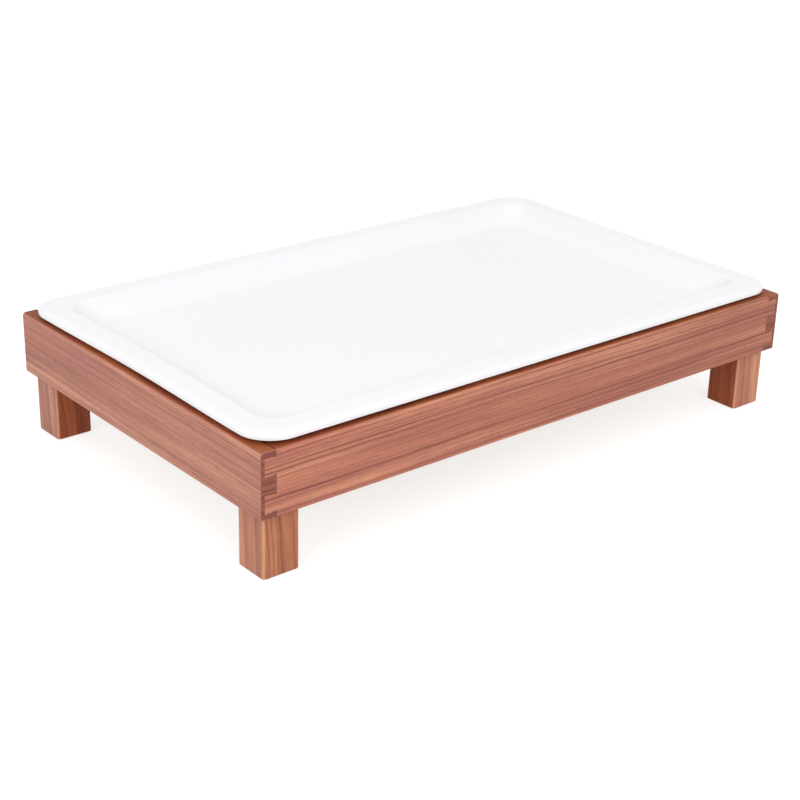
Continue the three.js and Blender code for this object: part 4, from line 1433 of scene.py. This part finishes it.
class SERVINGTRAY_OT_tray(bpy.types.Operator):
    """Makes the glazed tray"""

    bl_idname = "serving_tray.tray"
    bl_label = "Tray"

    wall_steps = 30
    lip_steps = 12
    side_steps = 20
    margin = 3 * MM  # flat ring between the rounded section and the faces that close it

    def execute(self, context):
        tray = context.scene.tray_tray
        mesh = loft([self.ring(tray, inset, height) for inset, height in self.section(tray)])
        finish = surface("white glaze", porcelain, tray)
        add_piece("tray", "glazed", smooth(mesh), finish, "tray", "porcelain")
        return {"FINISHED"}

    def ring(self, tray, inset, height):
        """Plan of the tray at an inset from its outer edge; the short sides are drawn in."""
        blend = min(1, inset / tray.rim_width)
        radius = tray.corner + (tray.well_corner - tray.corner) * blend
        ring = outline(rectangle(TRAY_LOW, TRAY_HIGH, radius, inset), height, self.side_steps)
        straight = TRAY_HIGH.y - inset - radius
        for point in ring:
            if abs(point.y) < straight and abs(point.x) > TRAY_HIGH.x - inset - radius:
                bow = tray.end_bow * (1 + math.cos(math.pi * point.y / straight)) / 2
                point.x -= math.copysign(bow, point.x)
        return ring

    def wall(self, tray, start, high, low):
        """Curve of the sloping wall from the rim down to the floor, as (inset, height)."""
        stop = start + tray.wall_run
        handles = (
            (start, high), (start + tray.wall_top_ease, high), (stop - tray.wall_foot_ease, low), (stop, low),
        )
        points = []
        for step in range(self.wall_steps + 1):
            done = step / self.wall_steps
            left = 1 - done
            weights = (left ** 3, 3 * done * left ** 2, 3 * done * done * left, done ** 3)
            inset = sum(weight * handle[0] for weight, handle in zip(weights, handles))
            height = sum(weight * handle[1] for weight, handle in zip(weights, handles))
            points.append((inset, height))
        return points

    def quarter(self, level, width, height):
        """Quarter ellipse from the outer edge at a level to the full width and height."""
        turns = angles(self.lip_steps)
        return [(width * (1 - math.cos(turn)), level + height * math.sin(turn)) for turn in turns]

    def section(self, tray):
        """Section as (inset, height), from the foot out under the rim, over it and down to the floor."""
        low, high = TRAY_LOW.z, TRAY_HIGH.z
        rim_under = high - tray.rim_thickness
        floor = low + tray.floor_thickness
        shift = tray.rim_thickness * math.sqrt(0.5)  # plan distance between the wall's two faces
        foot = tray.rim_width + tray.wall_run - shift + tray.foot_width
        below = self.quarter(rim_under + tray.lip_under, tray.lip_under, -tray.lip_under)
        above = self.quarter(high - tray.lip_drop, tray.lip_round, tray.lip_drop)
        return [
            (foot + tray.foot_height + self.margin, low + tray.foot_height),
            (foot + tray.foot_height, low + tray.foot_height),
            (foot, low),
            *self.wall(tray, tray.rim_width - shift, rim_under, low)[::-1],
            *below[::-1],
            *above,
            *self.wall(tray, tray.rim_width, high, floor),
            (tray.rim_width + tray.wall_run + self.margin, floor),
        ]


# Stage

SKY_HORIZON = 0.3  # brightness of the dome at the horizon; a level surface still gets its full strength
SKY_RISE = 1.5 * (1 - SKY_HORIZON)
WHITE = (1, 1, 1, 1)
SHADOW_TONE = (0.5, 0.5, 0.5, 1)  # part of the white floor that light and shadow fall on
FLOOR_GLOW = 0.74  # strength that brings the lit part up to white


def studio_floor(stage):
    """Pale floor that the camera and reflections see as white, with the object's shadow on it."""
    made, graph = new_material("studio floor")
    lit = graph.add("ShaderNodeBsdfDiffuse", None, {"Color": stage.floor})
    shadow = graph.add("ShaderNodeBsdfDiffuse", None, {"Color": SHADOW_TONE})
    glow = graph.add("ShaderNodeEmission", None, {"Color": WHITE, "Strength": FLOOR_GLOW})
    white = graph.add("ShaderNodeAddShader", None, {"Shader": shadow, "Shader_001": glow})
    front = graph.add("ShaderNodeMixShader", None, {"Fac": graph.seen(), "Shader": lit, "Shader_001": white})
    clear = graph.add("ShaderNodeBsdfTransparent")
    back = graph.add("ShaderNodeNewGeometry", output="Backfacing")
    one_sided = graph.add("ShaderNodeMixShader", None, {"Fac": back, "Shader": front, "Shader_001": clear})
    graph.add("ShaderNodeOutputMaterial", None, {"Surface": one_sided})
    return made


class SERVINGTRAY_OT_stage(bpy.types.Operator):
    """Makes the floor, the lamps, the white surroundings and the camera"""

    bl_idname = "serving_tray.stage"
    bl_label = "Stage"

    left_place, front_place = (-3.0, -0.9, 1.9), (-0.7, -3.0, 1.9)

    def execute(self, context):
        stage = context.scene.tray_stage
        self.floor(stage)
        self.lamp("left light", self.left_place, stage.lamp_size, stage.left)
        self.lamp("front light", self.front_place, stage.lamp_size, stage.front)
        self.surroundings(context.scene, stage)
        self.camera(context.scene, stage)
        context.scene.view_settings.view_transform = "Standard"
        return {"FINISHED"}

    def floor(self, stage):
        half = stage.floor_size / 2
        corners = [(-half, -half, 0), (half, -half, 0), (half, half, 0), (-half, half, 0)]
        mesh = bpy.data.meshes.new("floor")
        mesh.from_pydata(corners, [], [(0, 1, 2, 3)])
        mesh.materials.append(studio_floor(stage))
        new_object("studio_floor", mesh)

    def lamp(self, name, place, size, power):
        """A round lamp that faces the object."""
        data = bpy.data.lights.new(name, "AREA")
        data.shape, data.size, data.energy = "DISK", size, power
        lamp = new_object(name, data)
        lamp.location = place
        lamp.rotation_euler = (-Vector(place)).to_track_quat("-Z", "Y").to_euler()

    def surroundings(self, scene, stage):
        """A dome of light that is brighter overhead; the camera and reflections see it as white."""
        scene.world = bpy.data.worlds.new("studio")
        scene.world.use_nodes = True
        graph = Graph(scene.world.node_tree)
        _, _, up = graph.split(graph.add("ShaderNodeTexCoord", output="Generated"))
        dome = (SKY_HORIZON + up.math("MAXIMUM", 0.0) * SKY_RISE) * stage.sky
        strength = dome + graph.seen() * (1 - dome)
        sky = graph.add("ShaderNodeBackground", None, {"Color": WHITE, "Strength": strength})
        graph.add("ShaderNodeOutputWorld", None, {"Surface": sky})

    def camera(self, scene, stage):
        azimuth, fall, roll = stage.camera_turn
        flat = math.cos(fall)
        forward = Vector((math.sin(azimuth) * flat, math.cos(azimuth) * flat, -math.sin(fall)))
        level = Vector((math.cos(azimuth), -math.sin(azimuth), 0))
        down = forward.cross(level)
        right = math.cos(roll) * level - math.sin(roll) * down
        below = math.sin(roll) * level + math.cos(roll) * down
        turn = Matrix((right, -below, -forward)).transposed().to_4x4()
        data = bpy.data.cameras.new("camera")
        data.lens = stage.lens
        scene.camera = new_object("camera", data)
        scene.camera.matrix_world = Matrix.Translation(stage.camera_place) @ turn


class SERVINGTRAY_PT_panel(bpy.types.Panel):
    """Lists the steps in the order in which they are made"""

    bl_label = "Serving tray"
    bl_idname = "SERVINGTRAY_PT_panel"
    bl_space_type = "VIEW_3D"
    bl_region_type = "UI"
    bl_category = "Serving tray"

    def draw(self, context):
        for step in STEPS:
            self.layout.operator(step.bl_idname)


SETTINGS = {
    "tray_timber": TimberSettings,
    "tray_fixings": FixingSettings,
    "tray_well": WellSettings,
    "tray_tray": TraySettings,
    "tray_stage": StageSettings,
}
STEPS = (
    SERVINGTRAY_OT_stage, SERVINGTRAY_OT_rails, SERVINGTRAY_OT_legs, SERVINGTRAY_OT_fixings,
    SERVINGTRAY_OT_foot_pads, SERVINGTRAY_OT_base, SERVINGTRAY_OT_liner, SERVINGTRAY_OT_cold_packs,
    SERVINGTRAY_OT_tray,
)


def register():
    for kind in (*SETTINGS.values(), *STEPS, SERVINGTRAY_PT_panel):
        bpy.utils.register_class(kind)
    for name, kind in SETTINGS.items():
        setattr(bpy.types.Scene, name, PointerProperty(type=kind))


def unregister():
    for name in SETTINGS:
        delattr(bpy.types.Scene, name)
    for kind in (SERVINGTRAY_PT_panel, *reversed(STEPS), *SETTINGS.values()):
        bpy.utils.unregister_class(kind)


def main():
    register()
    bpy.ops.serving_tray.stage()
    bpy.ops.serving_tray.rails()
    bpy.ops.serving_tray.legs()
    bpy.ops.serving_tray.fixings()
    bpy.ops.serving_tray.foot_pads()
    bpy.ops.serving_tray.base()
    bpy.ops.serving_tray.liner()
    bpy.ops.serving_tray.cold_packs()
    bpy.ops.serving_tray.tray()


if __name__ == "__main__":
    main()
